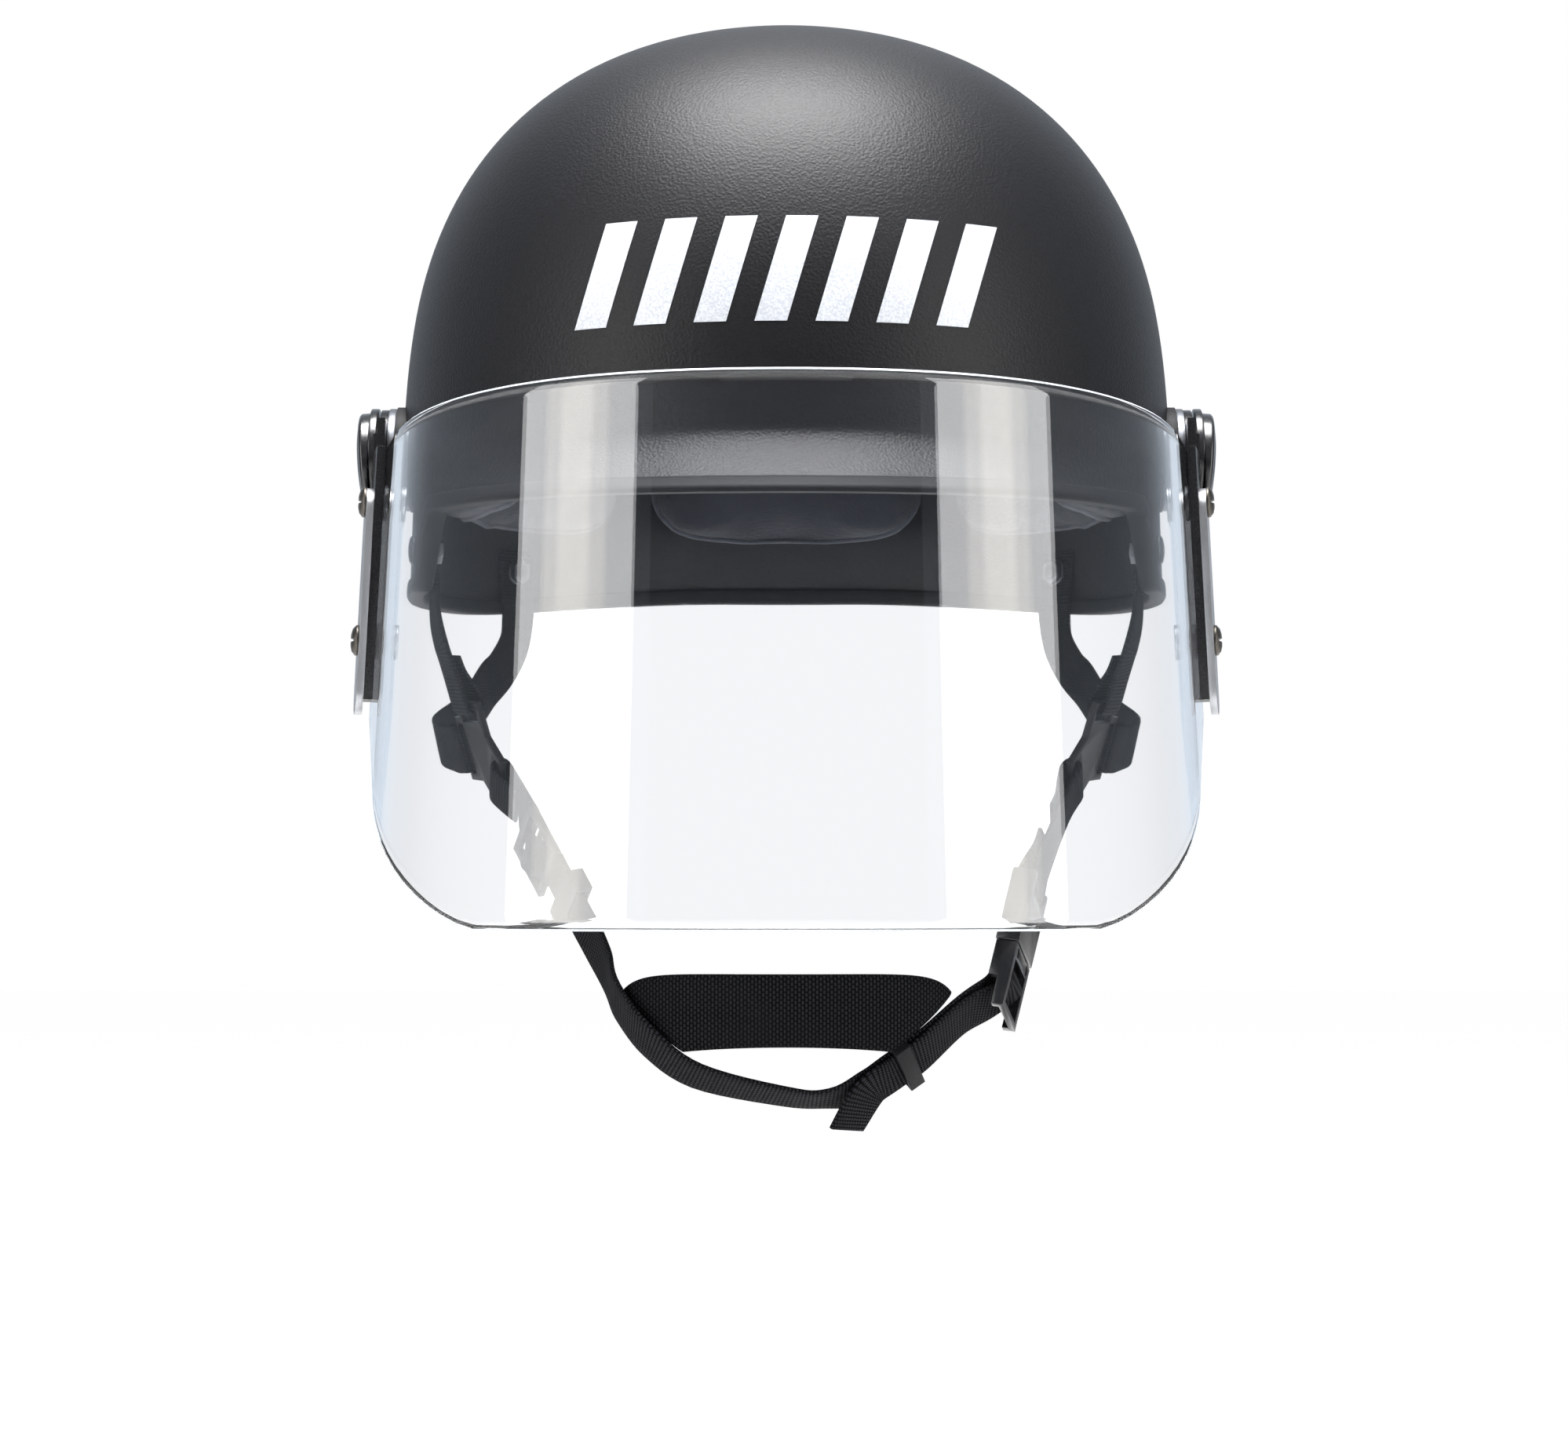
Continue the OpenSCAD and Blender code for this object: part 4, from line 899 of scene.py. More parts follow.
@dataclass
class Shell:
    """Shell, rubber edge trim and the plain marking on the front."""

    form: ShellForm = field(default_factory=ShellForm)
    columns: int = 280
    dome_rows: int = 44
    wall_rows: int = 22
    crowding: float = 0.92
    trim_gap: float = 0.12
    trim_t: float = 1.3
    trim_h: float = 3.6

    def build(self, maker: Maker) -> None:
        """Builds the shell, its trim and its marking."""
        self.skin(maker)
        self.trim(maker)
        self.marking(maker)

    def skin(self, maker: Maker) -> None:
        """Outer and inner face in one closed skin."""
        form = self.form
        half = self.dome_rows + self.wall_rows
        rows = 2 * half + 1

        def place(u: float, v: float) -> Vector:
            """Point of the skin, down the outside and up the inside."""
            phi = even_phi(u)
            row = round(v * rows)
            k, off = (rows - row, form.wall) if row > half else (row, 0.0)
            if k <= self.dome_rows:
                return form.dome(phi, 90 * (k / self.dome_rows) ** self.crowding, off)
            t = (k - self.dome_rows) / self.wall_rows
            return form.plan(phi, 1.0, mixed(form.dome_z, form.rim(phi), t), off)

        bm = maker.grid(self.columns, rows, place)
        maker.keep(bm, "shell_skin", "shell", Body.HELMET, 50.0, ["shell"])

    def trim(self, maker: Maker) -> None:
        """Rounded rubber channel over the rim."""
        form, e, t, h = self.form, self.trim_gap, self.trim_t, self.trim_h
        # Out from the wall, up as a share of the height, down as a share of the thickness
        lip = [
            (0.0, 1.0, 0.0), (0.45, 1.02, 0.0), (0.85, 0.96, 0.0), (1.12, 0.8, 0.0), (t, 0.35, 0.0),
            (t, 0.0, 0.0), (0.92 * t, 0.0, 0.55), (0.6 * t, 0.0, 0.95), (0.1 * t, 0.0, 1.0),
        ]
        profile = [(e + k, up, down) for k, up, down in lip]
        profile += [(-form.wall - e - k, up, down) for k, up, down in reversed(lip)]
        profile += [(-form.wall - e, -e / h, 0.0), (e, -e / h, 0.0), (e, 1.0, 0.0)]

        def place(u: float, v: float) -> Vector:
            """Point of the channel, u round the rim and v round its section."""
            phi = even_phi(u)
            out, up, down = row_at(profile, v)
            if up > 0:
                return form.plan(phi, 1.0, form.rim(phi) + up * form.rise(phi, h), -out)
            edge = form.plan(phi, 1.0, form.rim(phi), -out)
            return edge + Vector((0, 0, up * h - form.rise(phi, t * down)))

        bm = maker.grid(self.columns, len(profile) - 1, place)
        maker.keep(bm, "edge_trim_piece", "rubber", Body.HELMET, 60.0, ["edge_trim"])

    def marking(self, maker: Maker) -> None:
        """Row of plain slanting bars where the front of the shell is marked."""
        count, span, width, lean = 7, 122.0, 9.2, 9.0
        low, high, sunk, film = 69.5, 100.5, -0.16, 0.12
        pitch = (span - width - lean) / (count - 1)
        whole = bmesh.new()
        for k in range(count):
            start = -span / 2 + k * pitch

            def place(u: float, v: float, start: float = start) -> Vector:
                """Point of one bar."""
                return self.on_front(start + u * width + v * lean, mixed(low, high, v), sunk)

            mesh = poured(maker.grid(10, 24, place), "bar")
            whole.from_mesh(mesh)
            bpy.data.meshes.remove(mesh)
        bmesh.ops.solidify(whole, geom=whole.faces[:], thickness=film * MM)
        bmesh.ops.recalc_face_normals(whole, faces=whole.faces)
        maker.keep(whole, "front_marking", "marking", Body.HELMET, 50.0, slot="shell")

    def on_front(self, x: float, z: float, off: float) -> Vector:
        """Point of the outer face in front.

        Args:
            x: Its X.
            z: Its height.
            off: Depth below the skin.

        Returns:
            The point.
        """
        form = self.form
        share = (z - form.dome_z) / (form.top - form.dome_z)
        level = (1 - share**form.dome_n) ** (1 / form.dome_m)
        sine = x / ((form.half_w - off) * level + form.spread(z))
        return form.plan(math.degrees(math.asin(max(-1.0, min(1.0, sine)))) % 360, level, z, off)


# Room, lamps and camera


@dataclass
class Studio:
    """Floor, backdrop light, lamps and camera, at the photograph's viewing angle."""

    distance: float = 1.3
    eye_z: float = -0.095
    focal_px: float = 5308.0
    image: tuple[int, int] = (1998, 1848)
    horizon_px: float = 1150.0
    middle_px: float = 1002.0
    floor_z: float = -0.42
    mirrored: float = 0.1
    backdrop: float = 0.9
    ambient: float = 0.22
    floor_glow: float = 0.8
    sky: Colour = (0.8, 0.89, 1.0)
    side_turn: float = 58.2
    side_reach: float = 1.5
    side_tall: float = 1.5
    # Name, share of the reach, width and watts of the lamps that stand one in front of the other
    side_boxes: tuple[tuple[str, float, float, float, Colour], ...] = (
        ("box", 1.0, 0.96, 24.0, WHITE),
        ("core", 0.99, 0.5, 3.2, WARM),
        ("heart", 0.98, 0.25, 1.7, WARM),
    )

    def build(self) -> None:
        """Builds everything that isn't the object."""
        self.camera()
        self.world()
        self.floor()
        self.card()
        self.lamps()
        bpy.context.scene.view_settings.view_transform = "Standard"

    def camera(self) -> None:
        """Camera that sees the front as the photograph does."""
        data = bpy.data.cameras.new("camera")
        data.sensor_width = 36.0
        data.lens = data.sensor_width * self.focal_px / self.image[0]
        data.clip_start, data.clip_end = 0.05, 60.0
        eye = placed("camera", data)
        pitch = math.atan((self.horizon_px - self.image[1] / 2) / self.focal_px)
        side = (self.image[0] / 2 - self.middle_px) / self.focal_px * self.distance
        eye.location = (side, -self.distance, self.eye_z)
        eye.rotation_euler = (math.pi / 2 + pitch, 0.0, 0.0)
        bpy.context.scene.camera = eye

    def world(self) -> None:
        """White where it is seen, reflected or looked through, and plain soft light elsewhere."""
        world = bpy.data.worlds.new("studio")
        world.use_nodes = True
        bpy.context.scene.world = world
        graph = Graph(world.node_tree)
        back = world.node_tree.nodes["Background"]
        seen = self.seen(graph)
        way = graph.add("SeparateXYZ", in_Vector=graph.coords("Generated"))
        wall = graph.ramp(way.outputs[1], 0.5, 0.95, (self.mirrored, self.backdrop))
        path = graph.add("LightPath").outputs
        direct = graph.math("LESS_THAN", path["Diffuse Depth"], 0.5)
        mirror = graph.scaled(graph.scaled(path["Is Glossy Ray"], wall), direct)
        cool = graph.scaled(path["Is Glossy Ray"], graph.rest(seen))
        graph.feed(back.inputs["Color"], graph.mix(cool, (*WHITE, 1.0), (*self.sky, 1.0)))
        shown = graph.math("MAXIMUM", seen, mirror)
        light = graph.math("ADD", shown, graph.scaled(graph.rest(shown), self.ambient))
        graph.feed(back.inputs["Strength"], light)

    @staticmethod
    def seen(graph: Graph) -> Socket:
        """Mask of the rays that look straight at the background, or at it through the clear sheet."""
        path = graph.add("LightPath").outputs
        bounced = graph.math("ADD", path["Glossy Depth"], path["Diffuse Depth"])
        through = graph.scaled(path["Is Transmission Ray"], graph.math("LESS_THAN", bounced, 0.5))
        return graph.math("MAXIMUM", path["Is Camera Ray"], through)

    @staticmethod
    def plane(
        name: str, size: float, matrix: Matrix, grey: float, rough: float, gloss: float
    ) -> tuple[Piece, Graph, Node]:
        """Stands a large plain plane in the room.

        Args:
            name: Name of the object and its material.
            size: Half of its width in metres.
            matrix: Its place and turn.
            grey: Linear grey of its colour.
            rough: Its roughness.
            gloss: Its specular level.

        Returns:
            The object, and its material's graph and shader.
        """
        bm = bmesh.new()
        bmesh.ops.create_grid(bm, x_segments=1, y_segments=1, size=size, matrix=matrix)
        mesh = poured(bm, name)
        material, graph, shader = new_material(name, (grey, grey, grey), rough, gloss)
        mesh.materials.append(material)
        plane = placed(name, mesh)
        return plane, graph, shader

    def floor(self) -> None:
        """Plain pale floor well below the object, which hides nothing from a view from underneath."""
        place = Matrix.Translation((0.0, 0.0, self.floor_z))
        _, graph, shader = self.plane("floor", 14.0, place, 0.85, 0.9, 0.0)
        shader.inputs["Emission Color"].default_value = (*WHITE, 1.0)
        graph.feed(shader.inputs["Emission Strength"], graph.scaled(self.seen(graph), self.floor_glow))
        below = graph.scaled(graph.add("NewGeometry").outputs["Backfacing"], self.seen(graph))
        graph.feed(shader.inputs["Alpha"], graph.rest(below))

    def card(self) -> None:
        """Dark card behind the camera that only reflections see."""
        place = Matrix.Translation((0.0, -4.2, 0.4)) @ Matrix.Rotation(math.pi / 2, 4, "X")
        card, _, _ = self.plane("dark_card", 3.2, place, 0.02, 1.0, 0.5)
        card.visible_camera = card.visible_diffuse = card.visible_transmission = card.visible_shadow = False

    def lamps(self) -> None:
        """Tall nested boxes on both sides, one overhead box and a weak front fill."""
        for side in Side:
            s, c = sine_cosine(self.side_turn * side.value)
            at = Vector((s * self.side_reach, -c * self.side_reach, 0.1))
            for name, near, width, power, colour in self.side_boxes:
                size = (width, self.side_tall)
                self.box(f"{side.word}_{name}", at * near, (0, -0.05, -0.02), size, power, colour)
        self.box("overhead_box", Vector((0, -0.16, 1.35)), (0, -0.05, 0.1), (1.1, 0.8), 104.0)
        self.box("front_fill", Vector((0, -2.4, 0.9)), (0, 0, 0), (1.6, 0.8), 2.0)

    @staticmethod
    def box(
        name: str, at: Vector, target: Triple, size: tuple[float, float], power: float, colour: Colour = WHITE
    ) -> None:
        """Adds a rectangular area lamp.

        Args:
            name: Name of the lamp.
            at: Its place.
            target: Point that it faces.
            size: Width and height in metres.
            power: Watts.
            colour: Linear colour of its light.
        """
        data = bpy.data.lights.new(name, "AREA")
        data.color = colour
        data.shape = "RECTANGLE"
        data.size, data.size_y = size
        data.energy = power
        lamp = placed(name, data)
        lamp.location = at
        lamp.rotation_mode = "QUATERNION"
        lamp.rotation_quaternion = (Vector(target) - at).to_track_quat("-Z", "Y")


# Hinges and face shield


@dataclass
class Hinges:
    """The two friction hinges: CAD solids with softened edges."""

    rows: tuple[tuple[str, str, float], ...] = (
        ("gasket", "gasket", 0.3),
        ("hinge_base", "dark_metal", 0.25),
        ("t_nut", "zinc", 0.15),
        ("pivot_bolt", "zinc", 0.15),
        ("friction_washer", "nylon", 0.05),
        ("wave_spring", "zinc", 0.03),
        ("hinge_disc", "gloss", 0.35),
        ("hinge_cap", "gloss", 0.22),
    )

    def build(self, maker: Maker) -> None:
        """Builds both sides."""
        for side in Side:
            for name, finish, bevel in self.rows:
                maker.refined(f"{side.word}_{name}", finish, bevel)


@dataclass
class Visor:
    """Clear sheet, arms, clamp plates and their screws."""

    sheet_x: float = 124.15
    hinge_z: float = 43.5
    rear: float = 20.0
    front: float = 165.0
    top: float = 51.5
    dip: float = 7.9
    dip_run: float = 95.0
    dip_curve: float = 1.5
    round_r: float = 6.0
    low: float = -103.0
    corner: float = -39.0
    sweep_run: float = 112.0
    sweep_n: float = 1.08
    sweep_m: float = 1.2
    thick: float = 3.0
    ease: float = 0.55
    ease_share: float = 0.004
    toe: float = 9.0
    lean: float = 2.9
    bow: float = 0.02
    rows: int = 40
    side_columns: int = 60
    crowd_part: float = 0.35
    crowd_power: float = 1.6

    def build(self, maker: Maker) -> None:
        """Builds the visor."""
        self.sheet(maker)
        for side in Side:
            maker.refined(f"{side.word}_arm", "coated", 0.3, Body.VISOR)
            maker.refined(f"{side.word}_clamp_plate", "bright_metal", 0.3, Body.VISOR)
        maker.refined("shield_screws", "bronze", 0.12, Body.VISOR)
        maker.refined("shield_posts", "zinc", 0.15, Body.VISOR)

    def side_x(self, z: float, inset: float) -> float:
        """Half width of the rear edge at a height and a depth below the sheet's outer face."""
        tan_toe = math.tan(math.radians(self.toe))
        tan_lean = math.tan(math.radians(self.lean)) / math.cos(math.radians(self.toe))
        norm = math.sqrt(1 + tan_toe**2 + tan_lean**2)
        return self.sheet_x - inset * norm + tan_lean * (self.hinge_z - z)

    def point(self, u: float, z: float, inset: float) -> Vector:
        """Point of the sheet on the wearer's left.

        Args:
            u: From 0 at the rear edge over 1 where the round front starts to 2 at the centre.
            z: Height.
            inset: Depth below the outer face.

        Returns:
            The point.
        """
        sin_toe, cos_toe = sine_cosine(self.toe)
        tan_toe = math.tan(math.radians(self.toe))
        side, front = self.side_x(z, inset), -self.front + inset + self.bow * (z - self.top)
        radius = (side - tan_toe * (-front - self.rear)) / (cos_toe - tan_toe * (1 - sin_toe))
        if u <= 1:
            d = mixed(self.rear, -front - radius * (1 - sin_toe), u)
            return Vector((side - tan_toe * (d - self.rear), -d, z))
        s, c = sine_cosine(mixed(self.toe, 90.0, u - 1))
        return Vector((radius * c, front + radius - radius * s, z))

    def edges(self, u: float) -> tuple[float, float]:
        """Heights of the lower and the upper edge.

        Args:
            u: Place along the sheet, as in point.

        Returns:
            The two heights.
        """
        d = -self.point(u, 0.0, 0.0).y
        c = clamped((d - self.rear) / self.round_r)
        dipped = self.top - self.dip * clamped((self.front - d) / self.dip_run) ** self.dip_curve
        high = dipped - self.round_r * (1 - math.sqrt(1 - (1 - c) ** 2))
        t = clamped((d - self.rear) / self.sweep_run)
        return self.low + (self.corner - self.low) * max(0.0, 1 - t**self.sweep_n) ** self.sweep_m, high

    def sheet(self, maker: Maker) -> None:
        """Clear sheet with rounded edges; its rims show the thickness in an opaque pale finish that paints
        their highlight.
        """
        steps = [(k / self.rows, 0.0) for k in range(1, self.rows)]
        share = self.ease_share
        loop = [(0.0, self.ease), (share, 0.0), *steps, (1 - share, 0.0), (1.0, self.ease)]
        ring = loop + [(t, self.thick - inset) for t, inset in reversed(loop)] + [loop[0]]
        part, power = self.crowd_part, self.crowd_power

        def place(u: float, v: float) -> Vector:
            """Point of the sheet, u from the wearer's left to the right and v round its section."""
            s = 1 - abs(2 * u - 1)
            w = s**power * 2 if s < part else mixed(part**power * 2, 2.0, (s - part) / (1 - part))
            t, inset = row_at(ring, v)
            p = self.point(w, mixed(*self.edges(w), t), inset)
            return p if u <= 0.5 else flip(p)

        bm = maker.grid(2 * self.side_columns, len(ring) - 1, place)
        maker.close(bm)
        piece = maker.keep(bm, "face_shield_sheet", "clear", Body.VISOR, 60.0, ["face_shield"])
        # The rear, top and bottom edge faces get the opaque pale finish: a painted highlight along the clear
        # sheet's edges.
        piece.data.materials.append(maker.shelf.material("sheet_edge_painted_highlight"))
        behind, backward, upright = -self.rear * 1.1 * MM, 0.6, 0.3
        for face in piece.data.polygons:
            rear = face.center.y > behind and abs(face.normal.y) > backward
            face.material_index = int(rear or abs(face.normal.z) > upright)


# Straps


@dataclass
class Harness:
    """Webbing, chin band, fittings, buckle and anchors, on the same routes as the CAD part."""

    strap_w: float = 15.0
    strap_t: float = 1.4
    wrap_r: float = 2.7
    yoke_bar: float = 14.2
    buckle_bar: float = 15.7
    layer_gap: float = 0.5
    steps: int = 6
    form: ShellForm = field(default_factory=ShellForm)
    # Node, finish and bevel of the fittings
    fittings: tuple[tuple[str, str, float, Body], ...] = (
        ("left_yoke", "acetal", 0.35, Body.HELMET),
        ("right_yoke", "acetal", 0.35, Body.HELMET),
        ("tri_glide", "acetal", 0.35, Body.HELMET),
        ("tail_keeper", "rubber", 0.3, Body.HELMET),
        ("strap_keeper", "acetal", 0.35, Body.KEEPER),
        ("buckle_socket", "buckle", 0.45, Body.HELMET),
        ("buckle_tongue", "buckle", 0.4, Body.HELMET),
        ("front_prong", "gloss", 0.25, Body.FRONT_PRONG),
        ("rear_prong", "gloss", 0.25, Body.REAR_PRONG),
        ("strap_screws", "black_metal", 0.15, Body.HELMET),
        ("strap_washers", "dark_metal", 0.1, Body.HELMET),
        ("strap_nuts", "dark_metal", 0.15, Body.HELMET),
    )

    def __post_init__(self) -> None:
        """Works out the directions that the routes share."""
        self.yoke_at = Vector((94, -22, -48))
        self.yoke_out = unit(Vector((0.88, -0.35, -0.32)))
        across = self.yoke_out.cross(Vector((0.25, -0.18, 0.95)))
        self.yoke_up = unit(across.cross(self.yoke_out))
        self.yoke_back = self.yoke_up.cross(self.yoke_out)
        self.jaw_dir = unit(-self.yoke_up - self.yoke_back)
        self.down = unit(Vector((-0.24, -0.36, -0.9)))
        self.buckle_at = Vector((68.8, -62.2, -104.3))
        self.buckle_out = unit(self.down.cross(Vector((0.97, -0.24, 0))).cross(self.down))
        self.buckle_side = self.buckle_out.cross(self.down)
        self.socket_bar = self.buckle_at - self.down * self.buckle_bar
        self.tongue_bar = self.buckle_at + self.down * self.buckle_bar
        self.tail_at, self.tail_along = Vector((31, -85.2, -145)), unit(Vector((-0.8, -0.14, -0.56)))
        self.tail_out = unit(self.tail_along.cross(Vector((0.35, -0.62, -0.7))).cross(self.tail_along))
        self.along_r = unit(Vector((0.43, -0.5, -0.75)))
        self.glide_r = flip(self.bar(self.jaw_dir)) + self.along_r * 28
        self.out_r = unit(self.along_r.cross(Vector((-0.8, -0.5, -0.2))).cross(self.along_r))
        self.pull = unit(self.buckle_side.cross((self.tail_at - self.tongue_bar).cross(self.buckle_side)))
        self.pull_out = self.pull.cross(self.buckle_side)

    def bar(self, direction: Vector) -> Vector:
        """Middle of the yoke's bar in a direction."""
        return self.yoke_at + direction * self.yoke_bar

    @staticmethod
    def laid(at: Vector, along: Vector, out: Vector, rows: Sequence[tuple[float, ...]]) -> Route:
        """Route from a table.

        Args:
            at: Point that the table counts from.
            along: Direction of the strap.
            out: Direction away from its face.
            rows: For each point its steps along and out, then those of the face's direction.

        Returns:
            The route.
        """
        return [(at + along * a + out * o, unit(along * x + out * y)) for a, o, x, y in rows]

    @staticmethod
    def free(*rows: tuple[Triple, Triple]) -> Route:
        """Route of points with the directions that the face looks, both given plainly."""
        return [(Vector(p), unit(Vector(n))) for p, n in rows]

    def wrapped(self, bar: Vector, along: Vector, out: Vector) -> Route:
        """End of a strap round a bar, from where it arrives to its sewn tail.

        Args:
            bar: Middle of the bar.
            along: Direction that the strap comes from.
            out: Direction of the face it comes in on.

        Returns:
            The route.
        """
        r, wide, narrow = self.wrap_r, 2.34, 1.35
        rows = [
            (9, r, 0, 1), (1.2, r, 0, 1), (-narrow, wide, -0.6, 1), (-wide, narrow, -1, 0.6), (-r, 0, -1, 0),
            (-wide, -narrow, -1, -0.6), (-narrow, -wide, -0.6, -1), (1.2, -r, 0, -1), (6, -1.4, 0, -1),
            (11, 0.3, 0, -1), (16, 0.8, 0, -1),
        ]
        return self.laid(bar, along, out, rows)

    def short_wrap(self, bar: Vector, along: Vector, out: Vector) -> Route:
        """End of a strap round a bar with a shorter sewn tail."""
        return self.wrapped(bar, along, out)[:10]

    @staticmethod
    def turned(route: Route) -> Route:
        """Same route, with the other face named."""
        return [(p, -n) for p, n in route]

    @staticmethod
    def mirrored(route: Route) -> Route:
        """Same route on the other side of the head."""
        return [(flip(p), flip(n)) for p, n in route]

    def woven(self) -> Route:
        """Way of the right strap over the middle bar of its slider."""
        half = [(12, -2.4, 0, 1), (8.5, -2.4, 0, 1), (4.3, 0, 0.75, 1), (1.2, 2.5, 0, 1)]
        rows = [(-a, o, -x, y) for a, o, x, y in half] + half[::-1]
        return self.laid(self.glide_r, self.along_r, self.out_r, rows)

    def anchored(self, phi: float, top: float, rows: Sequence[tuple[float, float]]) -> Route:
        """Start of a strap on the inside of the wall by its anchor.

        Args:
            phi: Angle of the anchor in degrees.
            top: Height of the anchor.
            rows: Height and depth below the skin of each point.

        Returns:
            The route.
        """
        form = self.form
        p = form.plan(phi, 1.0, top, 0.0)
        length = form.front_len if p.y < form.widest_y else form.back_len
        out = unit(Vector((p.x / form.half_w**2, (p.y - form.widest_y) / length**2, 0.0)))
        return [(Vector(((p - out * depth).x, (p - out * depth).y, z)), out) for z, depth in rows]

    def front_route(self) -> Route:
        """From the front anchor to the yoke."""
        rows = self.anchored(72.0, 13.0, ((20, 5.3), (13, 5.3), (8.6, 5.3), (4.6, 6.9), (-5, 7.0)))
        bar, out = self.bar(self.yoke_up), rows[0][1]
        rows.append((bar + self.yoke_up * 21 + self.yoke_out * 3.2, unit(self.yoke_out + out * 0.6)))
        return rows + self.wrapped(bar, self.yoke_up, self.yoke_out)

    def nape_route(self) -> Route:
        """From the rear anchor to the yoke."""
        rows = self.anchored(128.0, 15.0, ((22, 5.3), (15, 5.3), (10.6, 5.3), (6.2, 6.9), (0, 7.0)))
        rows += self.free(
            ((92, 83, -9.5), (0.84, 0.55, -0.04)),
            ((96, 78, -18), (0.89, 0.45, -0.08)),
            ((100, 71, -23.5), (0.93, 0.36, -0.12)),
            ((104.5, 45, -34.5), (0.97, 0.08, -0.2)),
        )
        bar, back = self.bar(self.yoke_back), self.yoke_back
        last = bar + back * 24 + self.yoke_out * 1.8 + self.yoke_up * 2.4
        rows.append((last, unit(Vector((0.93, -0.25, -0.28)))))
        return rows + self.short_wrap(bar, back, self.yoke_out)

    def jaw_route(self) -> Route:
        """From the left yoke to the buckle."""
        first = self.wrapped(self.bar(self.jaw_dir), self.jaw_dir, self.yoke_out)[::-1]
        return first + self.wrapped(self.socket_bar, -self.down, self.buckle_out)

    def chin_route(self) -> Route:
        """From the right yoke under the chin to the buckle, with its free end outside."""
        first = self.short_wrap(self.bar(self.jaw_dir), self.jaw_dir, -self.yoke_out)[::-1]
        route = self.mirrored(self.turned(first)) + self.woven()
        run_end = self.glide_r + self.along_r * 29 - self.out_r * 2.4
        at, along, out = self.tail_at, self.tail_along, self.tail_out
        bar, pull, pull_out = self.tongue_bar, self.pull, self.pull_out
        inner = self.strap_t + self.layer_gap
        middle, face = Vector((51.2, -76, -128)), unit(Vector((0.68, -0.5, -0.52)))
        skew = self.buckle_side * (middle - bar).dot(self.buckle_side) * 0.2
        route += [(run_end, self.out_r), (run_end + self.along_r * 8, self.out_r)]
        route += self.free(
            ((-52.8, -69.6, -115.2), (-0.8, -0.53, -0.3)),
            ((-49.4, -79.8, -123.8), (-0.74, -0.51, -0.43)),
            ((-40.4, -89.4, -135), (-0.66, -0.52, -0.54)),
            ((-26, -91, -145.2), (-0.42, -0.5, -0.76)),
            ((0, -88, -151.4), (0, -0.36, -0.93)),
            ((12, -87.2, -151.9), (0.2, -0.36, -0.9)),
        )
        route += self.laid(at, along, out, [(9, -inner - 0.1, 0, 1), (0, -inner, 0, 1), (-11, -inner, 0, 1)])
        route += [
            (middle - face * inner / 2, face),
            (bar + pull * 7 - pull_out * 2 + skew, pull_out),
            *self.turned(self.wrapped(bar, pull, -pull_out)[1:8]),
            (bar + pull * 7 + pull_out * 2 + skew, -pull_out),
            (middle + face * inner / 2, -face),
        ]
        route += self.laid(at, along, out, [(-11, 0, 0, -1), (0, 0, 0, -1), (9, 0.3, 0, -1)])
        return route + self.free(((17.5, -83, -161), (-0.5, 0.5, 0.7)))

    def eased(self, route: Route) -> Route:
        """Smooth curve through a route's points.

        Args:
            route: The points and directions.

        Returns:
            A closer row of them.
        """

        def curve(a: Vector, b: Vector, c: Vector, d: Vector, t: float) -> Vector:
            """Point between b and c on the curve through all four."""
            bend, twist = 2 * a - 5 * b + 4 * c - d, 3 * b - a - 3 * c + d
            return 0.5 * (2 * b + (c - a) * t + bend * t * t + twist * t**3)

        last = len(route) - 1
        made: Route = []
        for i in range(last):
            four = [route[max(0, i - 1)], route[i], route[i + 1], route[min(last, i + 2)]]
            for s in range(self.steps):
                made.append(tuple(curve(*[p[k] for p in four], s / self.steps) for k in (0, 1)))
        made.append(route[last])
        return made

    def strap(self, maker: Maker, name: str, route: Route) -> None:
        """Flat woven strap with soft edges along a route.

        Args:
            maker: Maker of pieces.
            name: CAD node that it replaces.
            route: Points with the direction that the face looks.
        """
        path = self.eased(route)
        w, t = self.strap_w / 2, self.strap_t / 2
        section = [(-1, 0.55), (-0.93, 0.96), (-0.5, 1), (0, 1), (0.5, 1), (0.93, 0.96), (1, 0.55)]
        ring = [(x * w, y * t) for x, y in section] + [(-x * w, -y * t) for x, y in section]
        ring.append(ring[0])
        lengths = [0.0]
        for (a, _), (b, _) in zip(path, path[1:]):
            lengths.append(lengths[-1] + (b - a).length * MM)
        last, round_last = len(path) - 1, len(ring) - 1

        def place(u: float, v: float) -> Vector:
            """Point of the strap, u along it and v round its section."""
            i = round(u * last)
            p, n = path[i]
            along = unit(path[min(last, i + 1)][0] - path[max(0, i - 1)][0])
            across = unit(along.cross(n))
            x, y = row_at(ring, v)
            return p + across * x + across.cross(along) * y

        def lay(_: Vector, uv: Vector) -> tuple[float, float]:
            """UV in metres, across the strap and along it."""
            return ring[round(uv.y * round_last) % len(ring)][0] * MM, lengths[round(uv.x * last)]

        bm = maker.grid(last, round_last, place)
        maker.unwrap(bm, lay)
        maker.close(bm)
        maker.keep(bm, name + "_webbing", "webbing", Body.HELMET, 70.0, [name])

    def chin_band(self, maker: Maker) -> None:
        """Wide woven band over the front of the chin."""
        width, thick, turns, top = 21.0, 2.0, 60, -115.6
        half, deep, middle, uv_radius = 53, 42, -62, 0.05
        upper_angle, lower_angle, droop, sag = 64.5, 34.0, 5.5, 1.5
        rows = [0.0, 0.03, 0.08, 0.2, 0.35, 0.5, 0.65, 0.8, 0.92, 0.97, 1.0]
        thin = [0.45, 0.8, 1.0, 1.0, 1.0, 1.0, 1.0, 1.0, 1.0, 0.8, 0.45]
        ring = [(k, h) for k, h in zip(rows, thin)] + [(k, -h) for k, h in zip(rows[::-1], thin[::-1])]
        ring.append(ring[0])

